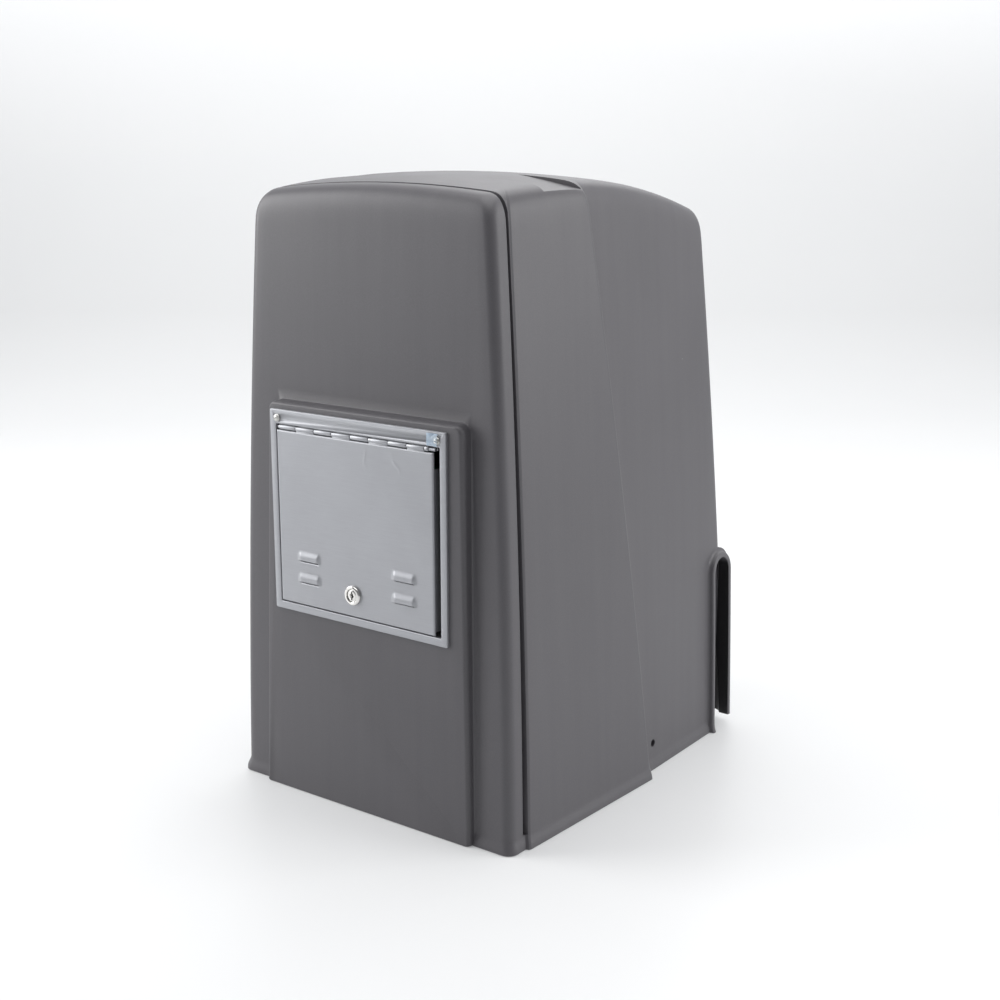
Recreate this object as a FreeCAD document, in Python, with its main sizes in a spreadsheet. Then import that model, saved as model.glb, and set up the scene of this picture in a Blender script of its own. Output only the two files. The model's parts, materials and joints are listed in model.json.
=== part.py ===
import FreeCAD, Part
import math
import os
import Sketcher

V = FreeCAD.Vector
doc = FreeCAD.newDocument("sliding_gate_operator")
sheet = doc.addObject("Spreadsheet::Sheet", "dims")
sheet.Label = "dims"

# ---------------------------------------------------------------- dimensions
# A Dim carries a number and the spreadsheet expression that gives it, so one
# line of arithmetic sets both the starting geometry and the binding.


class Dim:
    def __init__(self, value, text):
        self.value = float(value)
        self.text = text

    def _op(self, other, sign, swap=False):
        o = other if isinstance(other, Dim) else Dim(other, repr(float(other)))
        a, b = (o, self) if swap else (self, o)
        v = {"+": lambda: a.value + b.value, "-": lambda: a.value - b.value,
             "*": lambda: a.value * b.value, "/": lambda: a.value / b.value}[sign]()
        return Dim(v, "(%s %s %s)" % (a.text, sign, b.text))

    def __add__(self, o): return self._op(o, "+")
    def __radd__(self, o): return self._op(o, "+", True)
    def __sub__(self, o): return self._op(o, "-")
    def __rsub__(self, o): return self._op(o, "-", True)
    def __mul__(self, o): return self._op(o, "*")
    def __rmul__(self, o): return self._op(o, "*", True)
    def __truediv__(self, o): return self._op(o, "/")
    def __neg__(self): return self._op(-1.0, "*")


_row = [0]


def dim(alias, value, note):
    _row[0] += 1
    sheet.set("A%d" % _row[0], note)
    sheet.set("B%d" % _row[0], str(value))
    sheet.setAlias("B%d" % _row[0], alias)
    return Dim(value, "dims." + alias)


def num(d):
    return d.value if isinstance(d, Dim) else float(d)


# base
plate_x = dim("plate_half_x", 104, "base plate half width")
plate_y = dim("plate_half_y", 124, "base plate half depth")
plate_z = dim("plate_thick", 5, "base plate thickness")
slot_x = dim("slot_at_x", 85, "foundation slot centre, x")
slot_y = dim("slot_at_y", 98, "foundation slot centre, y")
slot_w = dim("slot_wide", 13, "foundation slot width, for M12 anchors")
slot_l = dim("slot_long", 30, "foundation slot length")
cable_x = dim("cable_at_x", -46, "cable entry centre, x")
cable_y = dim("cable_at_y", -84, "cable entry centre, y")
cable_r = dim("cable_bore_rad", 16, "cable entry clear radius")
# gearbox
gb_x0 = dim("box_left", -50, "gearbox left face")
gb_x1 = dim("box_right", 76, "gearbox right face")
gb_y0 = dim("box_front", 30, "gearbox lid joint")
gb_y1 = dim("box_rear", 96, "gearbox rear face")
gb_z1 = dim("box_top", 153, "gearbox top face")
gb_w = dim("box_wall", 8, "gearbox wall")
sump = dim("sump_floor", 28, "gearbox cavity floor")
out_z = dim("shaft_high", 85, "output shaft height above the ground")
boss_r = dim("boss_rad", 30, "output boss radius")
boss_y = dim("boss_end", 131, "output boss end")
jr = dim("journal_rad", 10, "output shaft journal radius")
sr = dim("shaft_rad", 12, "output shaft radius under the wheel")
run = dim("run_gap", 0.05, "running clearance on radius")
brg_r = dim("bearing_rad", 23.5, "output bearing outer radius")
brg_w = dim("bearing_wide", 14, "output bearing width")
rel_z = dim("release_high", 136, "release shaft height")
rel_r = dim("release_rad", 5, "release shaft radius")
# worm and motor
wx = dim("worm_x", 50, "worm axis, x (centre distance)")
wy = dim("worm_y", 60, "worm axis, y (middle of the wheel)")
wj = dim("worm_journal", 7.5, "worm shaft journal radius")
wbr = dim("worm_bearing_rad", 16, "worm bearing outer radius")
wbw = dim("worm_bearing_wide", 9, "worm bearing width")
mod = dim("gear_module", 2.5, "worm gear module")
mot_z0 = dim("motor_low", 163, "motor bottom face")
mot_z1 = dim("motor_high", 276, "motor housing top")
mot_r = dim("motor_rad", 39, "motor housing radius")
# pinion
pin_y0 = dim("pinion_front", 142.5, "pinion front face")
pin_w = dim("pinion_wide", 26, "pinion face width")
pin_m = dim("pinion_module", 4, "pinion module")
pin_t = 17
# cover
cov_b = dim("cover_low", 0.5, "cover bottom edge above the ground")
cov_w = dim("cover_wall", 3, "cover wall")
cov_h = dim("cover_high", 400.5, "top of the crowned roof")
pad_x = dim("pad_half_x", 87, "front pad half width")
pad_y = dim("pad_face", -145.4, "front pad face")
pad_z = dim("pad_high", 263, "front pad top")
# steel door
fr_x = dim("frame_half_x", 70.7, "steel surround half width")
fr_z0 = dim("frame_low", 125.5, "steel surround bottom")
fr_z1 = dim("frame_high", 255.5, "steel surround top")
fr_y = dim("frame_face", -147.3, "steel face")
dr_x0 = dim("door_left", -65, "door left edge")
dr_x1 = dim("door_right", 62.5, "door right edge")
dr_z0 = dim("door_low", 131.5, "door bottom edge")
hg_z = dim("hinge_high", 244.5, "hinge axis height")
hg_y = dim("hinge_at_y", -146.2, "hinge axis, y")
lk_x = dim("lock_at_x", -3.4, "lock centre, x")
lk_z = dim("lock_at_z", 145, "lock centre, z")
# control bracket
cb_y = dim("bracket_at_y", -40, "control bracket rear face")
cb_x = dim("bracket_half_x", 82, "control bracket half width")
cb_z = dim("bracket_high", 338, "control bracket top")
doc.recompute()

AX = {"x": (V(0, 1, 0), 90), "y": (V(1, 0, 0), -90), "z": (V(0, 0, 1), 0)}
_n = [0]


def bind(obj, prop, d):
    if isinstance(d, Dim):
        obj.setExpression(prop, d.text)
    else:
        if prop.startswith("Placement.Base."):
            p = obj.Placement
            b = V(p.Base)
            setattr(b, prop[-1], float(d))
            obj.Placement = FreeCAD.Placement(b, p.Rotation)
        else:
            setattr(obj, prop, float(d))


def place(obj, at, rot=None):
    if rot is not None:
        obj.Placement = FreeCAD.Placement(V(0, 0, 0), rot)
    for k, d in zip("xyz", at):
        if not isinstance(d, Dim):
            bind(obj, "Placement.Base." + k, d)
    for k, d in zip("xyz", at):
        if isinstance(d, Dim):
            bind(obj, "Placement.Base." + k, d)


def name(stem):
    _n[0] += 1
    return "%s_%03d" % (stem, _n[0])


def box(x0, x1, y0, y1, z0, z1, label=None):
    o = doc.addObject("Part::Box", name("box"))
    bind(o, "Length", x1 - x0)
    bind(o, "Width", y1 - y0)
    bind(o, "Height", z1 - z0)
    place(o, (x0, y0, z0))
    if label:
        o.Label = label
    return o


def cyl(r, h, at, axis="z", label=None):
    o = doc.addObject("Part::Cylinder", name("cyl"))
    bind(o, "Radius", r)
    bind(o, "Height", h)
    v, a = AX[axis]
    place(o, at, FreeCAD.Rotation(v, a))
    if label:
        o.Label = label
    return o


def cone(r1, r2, h, at, axis="z"):
    o = doc.addObject("Part::Cone", name("cone"))
    bind(o, "Radius1", r1)
    bind(o, "Radius2", r2)
    bind(o, "Height", h)
    v, a = AX[axis]
    place(o, at, FreeCAD.Rotation(v, a))
    return o


def prism(n, r, h, at, axis="z"):
    o = doc.addObject("Part::Prism", name("prism"))
    o.Polygon = n
    bind(o, "Circumradius", r)
    bind(o, "Height", h)
    v, a = AX[axis]
    place(o, at, FreeCAD.Rotation(v, a))
    return o


def fuse(objs, label=None):
    if len(objs) == 1:
        if label:
            objs[0].Label = label
        return objs[0]
    o = doc.addObject("Part::MultiFuse", name("fuse"))
    o.Shapes = objs
    if label:
        o.Label = label
    return o


def cut(base, tools, label=None):
    o = doc.addObject("Part::Cut", name("cut"))
    o.Base = base
    o.Tool = tools[0] if len(tools) == 1 else fuse(tools)
    if label:
        o.Label = label
    return o


def group(objs, label):
    o = doc.addObject("Part::Compound", name("group"))
    o.Links = objs
    o.Label = label
    return o


def fillet(base, radius, pick):
    """Part::Fillet on the base's edges that pick(edge) accepts."""
    doc.recompute()
    edges = [i + 1 for i, e in enumerate(base.Shape.Edges) if pick(e)]
    if not edges:
        return base
    o = doc.addObject("Part::Fillet", name("fillet"))
    o.Base = base
    o.Edges = [(i, float(num(radius)), float(num(radius))) for i in edges]
    doc.recompute()
    if "Invalid" in o.State or "Error" in o.State or o.Shape.isNull() or not o.Shape.isValid():
        doc.removeObject(o.Name)
        return base
    return o


def vertical(e):
    d = e.valueAt(e.LastParameter) - e.valueAt(e.FirstParameter)
    return e.Curve.TypeId == "Part::GeomLine" and abs(d.x) < 1e-6 and abs(d.y) < 1e-6


def plane_of(body, role):
    return [f for f in body.Origin.OriginFeatures if f.Role == role][0]


def sketch(body, role, loops, circles=()):
    """A sketch on one origin plane: closed polygons and circles, every
    coordinate held by a signed distance from the sketch origin."""
    sk = body.newObject("Sketcher::SketchObject", name("sketch"))
    sk.AttachmentSupport = [(plane_of(body, role), "")]
    sk.MapMode = "FlatFace"
    for pts in loops:
        first = sk.GeometryCount
        n = len(pts)
        for i in range(n):
            a, b = pts[i], pts[(i + 1) % n]
            sk.addGeometry(Part.LineSegment(V(num(a[0]), num(a[1]), 0), V(num(b[0]), num(b[1]), 0)), False)
        for i in range(n):
            sk.addConstraint(Sketcher.Constraint("Coincident", first + i, 2, first + (i + 1) % n, 1))
        for i in range(n):
            for kind, d in (("DistanceX", pts[i][0]), ("DistanceY", pts[i][1])):
                c = sk.addConstraint(Sketcher.Constraint(kind, -1, 1, first + i, 1, num(d)))
                if isinstance(d, Dim):
                    sk.setExpression("Constraints[%d]" % c, d.text)
    for (x, y, r) in circles:
        g = sk.addGeometry(Part.Circle(V(num(x), num(y), 0), V(0, 0, 1), num(r)), False)
        for con in (("DistanceX", x), ("DistanceY", y)):
            c = sk.addConstraint(Sketcher.Constraint(con[0], -1, 1, g, 3, num(con[1])))
            if isinstance(con[1], Dim):
                sk.setExpression("Constraints[%d]" % c, con[1].text)
        c = sk.addConstraint(Sketcher.Constraint("Radius", g, num(r)))
        if isinstance(r, Dim):
            sk.setExpression("Constraints[%d]" % c, r.text)
    return sk


def pad(label, role, loops, length, at=(0, 0, 0), circles=(), rot=None, reverse=False):
    body = doc.addObject("PartDesign::Body", name("body"))
    sk = sketch(body, role, loops, circles)
    p = body.newObject("PartDesign::Pad", name("pad"))
    p.Profile = sk
    bind(p, "Length", length)
    p.Reversed = reverse
    doc.recompute()
    place(body, at, rot)
    if label:
        body.Label = label
    return body


def turn(label, profile, at, axis="z"):
    """A revolved body: profile points are (radius, along the axis)."""
    body = doc.addObject("PartDesign::Body", name("body"))
    sk = sketch(body, "XZ_Plane", [profile])
    r = body.newObject("PartDesign::Revolution", name("rev"))
    r.Profile = sk
    r.ReferenceAxis = (sk, ["V_Axis"])
    r.Angle = 360
    doc.recompute()
    v, a = AX[axis]
    place(body, at, FreeCAD.Rotation(v, a))
    if label:
        body.Label = label
    return body


def rect(x0, x1, y0, y1):
    return [(x0, y0), (x1, y0), (x1, y1), (x0, y1)]


def shaped(label, shape, at=(0, 0, 0)):
    o = doc.addObject("Part::Feature", name("form"))
    o.Shape = shape
    o.Placement = FreeCAD.Placement(V(*at), FreeCAD.Rotation())
    if label:
        o.Label = label
    return o


def screw(x, y, z, head_r, head_h, shank_r, length, axis="z", flip=False, socket=None):
    """Cylinder-head screw: (x, y, z) is the seat under the head; the shank
    runs against the axis (or along it when flipped)."""
    step = {"x": (1, 0, 0), "y": (0, 1, 0), "z": (0, 0, 1)}[axis]
    s = -1 if flip else 1

    def along(d):
        return tuple(c + k * d for c, k in zip((x, y, z), step))
    head = cyl(head_r, head_h, along(0 if not flip else -1 * num(head_h)), axis)
    shank = cyl(shank_r, length + 0.5, along(-length if not flip else -0.5), axis)
    sock = prism(6, socket or head_r * 0.55, head_h * 0.6, along(head_h * 0.4 + 0.01 if not flip else -head_h - 0.01), axis)
    return cut(fuse([head, shank]), [sock])


out = []


def keep(obj):
    out.append(obj)
    return obj


# ---------------------------------------------------------------- base
blank = pad(None, "XY_Plane", [[(-plate_x + 10, -plate_y), (plate_x - 10, -plate_y), (plate_x, -plate_y + 10),
                               (plate_x, plate_y - 10), (plate_x - 10, plate_y), (-plate_x + 10, plate_y),
                               (-plate_x, plate_y - 10), (-plate_x, -plate_y + 10)]], plate_z)
tools = []
for sx in (-1, 1):
    for sy in (-1, 1):
        cx, cy = slot_x * sx, slot_y * sy
        half = (slot_l - slot_w) / 2
        tools.append(box(cx - slot_w / 2, cx + slot_w / 2, cy - half, cy + half, -1, plate_z + 1))
        for s2 in (-1, 1):
            tools.append(cyl(slot_w / 2, plate_z + 2, (cx, cy + half * s2, -1)))
tools.append(cyl(cable_r + 4, plate_z + 2, (cable_x, cable_y, -1)))
M5 = [(-94, 13), (94, 13), (-70, -30), (70, -30)]
M8 = [(-59, 42), (-59, 72), (85, 42), (85, 72)]
for x, y in M5:
    tools.append(cyl(2.5, 7, (x, y, -1)))
for x, y in M8:
    tools.append(cyl(4, 7, (x, y, -1)))
keep(cut(blank, tools, "base_plate"))

keep(turn("cable_grommet", [(cable_r, 0.3), (cable_r + 4, 0.3), (cable_r + 4, plate_z), (cable_r + 8, plate_z),
                            (cable_r + 8, plate_z + 2), (cable_r + 5, plate_z + 4), (cable_r, plate_z + 4)],
          (cable_x, cable_y, 0)))

# two angle tabs that the cover is screwed to
tabs = []
for s in (-1, 1):
    foot = box(84, 107.5, 3, 23, plate_z, plate_z + 3)
    wall = box(104.5, 107.5, 3, 23, plate_z, 40)
    rib = box(96, 105, 11.5, 14.5, plate_z, 5.5)
    t = cut(fuse([foot, wall]), [cyl(2.5, 10, (94, 13, plate_z - 1)), cyl(2.1, 10, (100, 13, 25), "x")])
    doc.removeObject(rib.Name)
    if s < 0:
        m = doc.addObject("Part::Mirroring", name("mirror"))
        m.Source = t
        m.Normal = V(1, 0, 0)
        t = m
    tabs.append(t)
keep(group(tabs, "cover_tabs"))

keep(group([screw(x, y, 8 if abs(x) > 80 else 7.5, 4.5, 3, 2.45, 7 if abs(x) > 80 else 6.5) for x, y in M5], "base_screws"))

# ---------------------------------------------------------------- gearbox
shell = box(gb_x0, gb_x1, gb_y0, gb_y1, plate_z, gb_z1)
shell = fillet(shell, 5, vertical)
feet = box(-68, 94, 34, 80, plate_z, 15)
feet = fillet(feet, 6, vertical)
ribs = [box(gb_x0 - 3, gb_x0 + 1, 60, 66, 12, 90), box(gb_x1 - 1, gb_x1 + 3, 60, 66, 12, 90)]
boss = cyl(boss_r, boss_y - gb_y1 + 2, (0, gb_y1 - 2, out_z), "y")
bossribs = [box(-2.5, 2.5, gb_y1 - 1, boss_y - 12, out_z + boss_r - 4, out_z + boss_r + 14),
            box(-2.5, 2.5, gb_y1 - 1, boss_y - 12, 40, out_z - boss_r + 4)]
solid = fuse([shell, feet, boss] + ribs + bossribs)
gtools = [box(gb_x0 + gb_w, gb_x1 - gb_w, gb_y0 - 1, gb_y1 - 6, sump, gb_z1 - gb_w),
          cyl(brg_r, 30, (0, 106, out_z), "y"),
          cyl(jr + 3, 30, (0, 86, out_z), "y"),
          cyl(wbr, 11, (wx, wy, sump - 10.5)),
          cyl(20, 20, (wx, wy, gb_z1 - 10)),
          cyl(rel_r + run, 5, (0, gb_y1 - 7, rel_z), "y"),
          cyl(3, 5, (-26, gb_y1 - 7, rel_z - 2), "y"),
          cyl(7, 20, (-30, 60, gb_z1 - 10))]
for x, y in M8:
    gtools.append(cyl(4.2, 14, (x, y, plate_z - 1)))
LID = [(-46, 24), (-46, 62), (-46, 106), (-46, 148), (72, 24), (72, 62), (72, 106), (72, 148), (13, 148), (13, 20.5)]
for x, z in LID:
    gtools.append(cyl(2.5, 17, (x, gb_y0 - 1, z), "y"))
for x in (30, 70):
    for y in (40, 80):
        gtools.append(cyl(2, 12, (x, y, gb_z1 - 6)))
for x in (-36, -8):
    gtools.append(cyl(1.5, 8, (x, 92, gb_z1 - 7)))
keep(cut(solid, gtools, "gearbox_housing"))

lid = fillet(box(gb_x0, gb_x1, gb_y0 - 8, gb_y0, 15.5, gb_z1), 5,
             lambda e: abs((e.valueAt(e.LastParameter) - e.valueAt(e.FirstParameter)).y) > 5 and e.Curve.TypeId == "Part::GeomLine")
lid = fuse([lid, cyl(29, 15, (0, gb_y0 - 22, out_z), "y"), cyl(11, 13, (0, gb_y0 - 20, rel_z), "y"),
            box(-3, 3, gb_y0 - 18, gb_y0 - 7, 22, out_z), box(20, 64, gb_y0 - 14, gb_y0 - 7, out_z - 2.5, out_z + 2.5)])
ltools = [cyl(brg_r, 20, (0, gb_y0 - 16, out_z), "y"), cyl(rel_r + run, 40, (0, gb_y0 - 25, rel_z), "y"),
          cyl(3, 5, (-26, gb_y0 - 4, rel_z - 2), "y")]
for x, z in LID:
    ltools.append(cyl(2.7, 12, (x, gb_y0 - 10, z), "y"))
keep(cut(lid, ltools, "gearbox_lid"))
keep(group([screw(x, 22, z, 4.6, 5, 2.45, 12, "y", True) for x, z in LID], "lid_screws"))
keep(group([screw(x, y, 15, 6.5, 8, 3.9, 14.5) for x, y in M8], "housing_bolts"))


def bearing(r_in, r_out, w, at, axis):
    f, k, g = (r_out - r_in) * 0.24, 0.8, r_in
    return turn(None, [(g, 0), (g + f, 0), (g + f, k), (r_out - f, k), (r_out - f, 0), (r_out, 0), (r_out, w),
                       (r_out - f, w), (r_out - f, w - k), (g + f, w - k), (g + f, w), (g, w)], at, axis)


keep(group([bearing(jr + run, brg_r, brg_w, (0, 14.5, out_z), "y"), bearing(jr + run, brg_r, brg_w, (0, 106.5, out_z), "y")],
           "output_bearings"))
keep(turn("output_seal", [(jr + run, 0), (brg_r, 0), (brg_r, 7), (jr + 3, 7), (jr + 3, 3), (jr + run, 3)], (0, 122, out_z), "y"))
keep(cyl(2.95, 64, (-26, gb_y0 - 3, rel_z - 2), "y", "fork_guide_pin"))
keep(cut(fuse([prism(6, 10, 7, (-30, 60, gb_z1)), cyl(6.9, 9, (-30, 60, gb_z1 - 8))]), [cyl(3.5, 4, (-30, 60, gb_z1 + 4))], "oil_plug"))

# worm wheel: helical-toothed bronze rim on a hub, with four dog pockets
teeth = 30
blank = turn(None, [(sr + run, 0), (22, 0), (22, 5), (31, 5), (31, 0), (mod * (teeth / 2 + 1), 0), (mod * (teeth / 2 + 1), 22), (31, 22),
                    (31, 17), (22, 17), (22, 22), (sr + run, 22)], (0, 49, out_z), "y")
doc.recompute()
m_ = num(mod)
lead = math.pi * m_
pitch_r, root_r, tip_r = m_ * teeth / 2, m_ * (teeth / 2 - 1.25), m_ * (teeth / 2 + 1) + 0.5
helix = math.atan(lead / (math.pi * 25.0))
step = 2 * math.pi / teeth
HAND = 1.0


def gap_wire(y_local, angle):
    """One tooth gap in the plane y = y_local, as four points on rays."""
    pts = []
    for rr, half in ((root_r, 1.55), (tip_r, 3.6)):
        for sgn in ((-1, 1) if rr == root_r else (1, -1)):
            a = angle + sgn * half / rr
            pts.append(V(rr * math.sin(a), y_local, rr * math.cos(a)))
    return Part.makePolygon(pts + [pts[0]])


gaps = []
for i in range(teeth):
    a0 = step * i + math.pi / 2 + step / 2
    da = HAND * 11.5 * math.tan(helix) / pitch_r
    gaps.append(Part.makeLoft([gap_wire(48.5, a0 - da), gap_wire(71.5, a0 + da)], True, True))
gapset = shaped(None, Part.makeCompound(gaps), (0, 0, num(out_z)))
DOGS = [box(-3.4, 3.4, 67.6, 72, out_z + 14.6, out_z + 20.4), box(-3.4, 3.4, 67.6, 72, out_z - 20.4, out_z - 14.6),
        box(14.6, 20.4, 67.6, 72, out_z - 3.4, out_z + 3.4), box(-20.4, -14.6, 67.6, 72, out_z - 3.4, out_z + 3.4)]
keep(cut(blank, [gapset] + DOGS, "worm_wheel"))

# output shaft
sh = turn(None, [(0, 14.5), (jr, 14.5), (jr, 31), (sr, 31), (sr, 43), (16, 43), (16, 48.7), (sr, 48.7), (sr, 103), (jr, 106.2),
                 (jr, 167.5), (0, 167.5)], (0, 0, out_z), "y")
splines = [box(-2.5, 2.5, 72, 89.5, out_z - 14, out_z + 14), box(-14, 14, 72, 89.5, out_z - 2.5, out_z + 2.5)]
keep(cut(fuse([sh] + splines), [cyl(3.4, 26, (0, 142.5, out_z), "y"), box(-3, 3, 143, 169, out_z + jr - 3.5, out_z + jr + 1)],
         "output_shaft"))

# dog ring that slides on the splines, with a groove for the fork
ring = turn(None, [(sr + 0.06, 72), (23, 72), (23, 77), (18.5, 77), (18.5, 81), (23, 81), (23, 84), (sr + 0.06, 84)], (0, 0, out_z), "y")
dogs = [box(-3, 3, 69, 73, out_z + 15, out_z + 20), box(-3, 3, 69, 73, out_z - 20, out_z - 15),
        box(15, 20, 69, 73, out_z - 3, out_z + 3), box(-20, -15, 69, 73, out_z - 3, out_z + 3)]
keep(cut(fuse([ring] + dogs), [box(-2.6, 2.6, 71, 85, out_z - 14.3, out_z + 14.3), box(-14.3, 14.3, 71, 85, out_z - 2.6, out_z + 2.6)],
         "clutch_ring"))

# release shaft, pin, fork: a helical slot in the fork hub turns 90 degrees
# of the shaft into 5 mm of slide
keep(cut(fuse([cyl(rel_r, 214.5, (0, -121, rel_z), "y"), cyl(8, 5.5, (0, 4.3, rel_z), "y")]),
         [cyl(2, 30, (0, 63, rel_z - 15), "z"), box(3.2, 6, -121.5, -103, rel_z - 6, rel_z + 6)], "release_shaft"))
keep(cyl(2, 15, (0, 63, rel_z - 7.5), "z", "release_cross_pin"))
hub = cyl(8, 30, (0, 52.5, rel_z), "y")
blade = box(-31, 31, 77.4, 80.6, out_z - 4, rel_z + 4)
fork = fuse([hub, cut(blade, [cyl(19.2, 10, (0, 75, out_z), "y"), box(-19.2, 19.2, 75, 85, out_z - 10, out_z)])])
ftools = [cyl(rel_r + run, 40, (0, 50, rel_z), "y"), cyl(3.05, 20, (-26, 70, rel_z - 2), "y")]
for i in range(13):
    a = 90.0 * i / 12
    c = cyl(2.35, 30, (0, 0, 0))
    r = math.radians(a)
    c.Placement = FreeCAD.Placement(V(15 * -math.sin(r), 63 - 5.0 * a / 90.0, num(rel_z) - 15 * math.cos(r)), FreeCAD.Rotation(V(0, 1, 0), a))
    ftools.append(c)
keep(cut(fork, ftools, "clutch_fork"))
keep(cut(turn(None, [(rel_r + run, 0), (9, 0), (9, 2), (7.9, 2), (7.9, 5), (9, 5), (9, 7), (rel_r + run, 7)], (0, -44.5, rel_z), "y"),
         [box(-20, 20, -60, -50, rel_z, rel_z + 1)], "release_bush"))
arm = pad(None, "XZ_Plane", [[(-9, 0), (9, 0), (8, 44), (11, 52), (11, 60), (7, 64), (-7, 64), (-11, 60), (-11, 52), (-8, 44)]], 9,
          (0, -109, rel_z))
hub2 = cyl(13, 14, (0, -119, rel_z), "y")
keep(cut(fuse([fillet(arm, 2.0, lambda e: abs((e.valueAt(e.LastParameter) - e.valueAt(e.FirstParameter)).y) > 5), hub2]),
         [cut(cyl(rel_r, 40, (0, -125, rel_z), "y"), [box(3.2, 6, -126, -103, rel_z - 6, rel_z + 6)])], "release_handle"))

# ---------------------------------------------------------------- worm and motor
core = turn(None, [(0, 18), (wj, 18), (wj, 28), (9, 28), (9, 55), (9.4, 58), (9.4, 112), (9, 115), (9, 145), (wj, 145.5), (wj, 175), (8, 176),
                   (8, 258), (6, 260), (6, 303.5), (0, 303.5)], (wx, wy, 0))
doc.recompute()


def thread(z0, z1, r_root, r_tip, half_root, half_tip, hand):
    """A worm thread as straight lofts between radial sections, one every
    twentieth of a turn."""
    per = 20
    n = int(round((z1 - z0) / lead * per))
    solids = []

    def sect(k):
        a = hand * 2 * math.pi * k / per
        z = z0 + (z1 - z0) * k / n
        pts = [(r_root, z - half_root), (r_tip, z - half_tip), (r_tip, z + half_tip), (r_root, z + half_root)]
        p = [V(r * math.cos(a), r * math.sin(a), zz) for r, zz in pts]
        return Part.makePolygon(p + [p[0]])
    return Part.makeLoft([sect(k) for k in range(n + 1)], True, True)


# the thread's ridge lies in a tooth gap of the wheel at the pitch point
worm_len = 5 * lead
th = thread(num(out_z) - worm_len / 2, num(out_z) + worm_len / 2, 9.0, 15.0, 2.35, 0.95, 1.0)
worm_thread = shaped(None, th, (num(wx), num(wy), 0))
turned = FreeCAD.Placement(V(num(wx), num(wy), 0), FreeCAD.Rotation(V(0, 0, 1), 180))
worm_thread.Placement = turned
keep(fuse([core, worm_thread], "worm_shaft"))

keep(group([bearing(wj + run, wbr, wbw, (wx, wy, 18.5), "z"), bearing(wj + run, wbr, wbw, (wx, wy, 145.8), "z")], "worm_bearings"))
keep(turn("worm_seal", [(wj + run, 0), (14, 0), (14, 6), (wj + 2.5, 6), (wj + 2.5, 2.5), (wj + run, 2.5)], (wx, wy, 156)))
ad = fillet(box(6, 94, 16, 104, gb_z1, gb_z1 + 10), 8, vertical)
MB = [(14, 24), (14, 96), (86, 24), (86, 96)]
AS = [(30, 40), (30, 80), (70, 40), (70, 80)]
keep(cut(fuse([ad, cyl(19.9, 8.5, (wx, wy, gb_z1 - 8))]),
         [cyl(wbr, 10.4, (wx, wy, 144.9)), cyl(wj + 1.5, 30, (wx, wy, 140)), cyl(14, 8, (wx, wy, 155.9))]
         + [cyl(3, 12, (x, y, gb_z1 - 1)) for x, y in MB]
         + [cyl(2.2, 12, (x, y, gb_z1 - 1)) for x, y in AS] + [cyl(4.2, 6, (x, y, gb_z1 + 6)) for x, y in AS], "motor_adapter"))
keep(group([screw(x, y, 159, 3.8, 3.5, 1.95, 11) for x, y in AS], "adapter_screws"))
keep(group([screw(x, y, 171, 5, 6, 2.95, 17) for x, y in MB], "motor_bolts"))

flange = fillet(box(6, 94, 16, 104, mot_z0, mot_z0 + 8), 8, vertical)
fins = []
for i in range(16):
    a = 360.0 * i / 16
    f = box(0, 4.2, -1, 1, 0, mot_z1 - mot_z0 - 14)
    f.Placement = FreeCAD.Placement(V(num(wx) + 37.8 * math.cos(math.radians(a)), num(wy) + 37.8 * math.sin(math.radians(a)), num(mot_z0) + 6),
                                    FreeCAD.Rotation(V(0, 0, 1), a))
    f.setExpression("Height", (mot_z1 - mot_z0 - 14).text)
    fins.append(f)
gland = box(0, 14, 17, 26, 176, 196)
keep(cut(fuse([cyl(mot_r, mot_z1 - mot_z0, (wx, wy, mot_z0)), flange] + fins), [cyl(mot_r - 3, 200, (wx, wy, mot_z0 - 1))]
         + [cyl(3.1, 12, (x, y, mot_z0 - 1)) for x, y in MB], "motor_housing"))
doc.removeObject(gland.Name)
slots = []
for i in range(12):
    a = 30.0 * i
    f = box(0, 9.5, -2.2, 2.2, 184, 248)
    f.Placement = FreeCAD.Placement(V(num(wx) + 21.5 * math.cos(math.radians(a)), num(wy) + 21.5 * math.sin(math.radians(a)), 184), FreeCAD.Rotation(V(0, 0, 1), a))
    slots.append(f)
keep(cut(cyl(mot_r - 3, 60, (wx, wy, 185)), [cyl(22.2, 70, (wx, wy, 180))] + slots, "stator_core"))


def coil(z):
    return turn(None, [(24.5, 1), (26, 0), (33, 0), (34.5, 1.5), (34.5, 12), (32, 15), (27, 15), (24.5, 12)], (wx, wy, z))


keep(group([coil(169.5), coil(245.6)], "stator_windings"))
keep(turn("rotor_core", [(8, 0), (21.6, 0), (21.6, 58), (19, 58), (19, 63), (14, 63), (14, 58), (8, 58)], (wx, wy, 186)))
keep(turn("motor_end_shield", [(16, 0), (35.9, -2), (35.9, 0), (39, 0), (39, 12), (7.5, 12), (7.5, 10.3), (16, 10.3)], (wx, wy, mot_z1)))
keep(bearing(6.05, 16, 10, (wx, wy, mot_z1 + 0.2), "z"))
out[-1].Label = "motor_top_bearing"
blades = [cyl(33, 1.6, (wx, wy, 291)), cyl(11, 12, (wx, wy, 291))]
for i in range(8):
    a = 45.0 * i
    f = box(0, 23, -0.8, 0.8, 0, 10.5)
    f.Placement = FreeCAD.Placement(V(num(wx) + 10 * math.cos(math.radians(a)), num(wy) + 10 * math.sin(math.radians(a)), 292), FreeCAD.Rotation(V(0, 0, 1), a + 12))
    blades.append(f)
keep(cut(fuse(blades), [cyl(6, 20, (wx, wy, 288))], "cooling_fan"))
holes = [cyl(5, 6, (wx, wy, 306))]
for k, (rad, n) in enumerate(((16, 8), (27, 12))):
    for i in range(n):
        a = 2 * math.pi * i / n
        holes.append(cyl(3.6, 6, (num(wx) + rad * math.cos(a), num(wy) + rad * math.sin(a), 306)))
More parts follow.
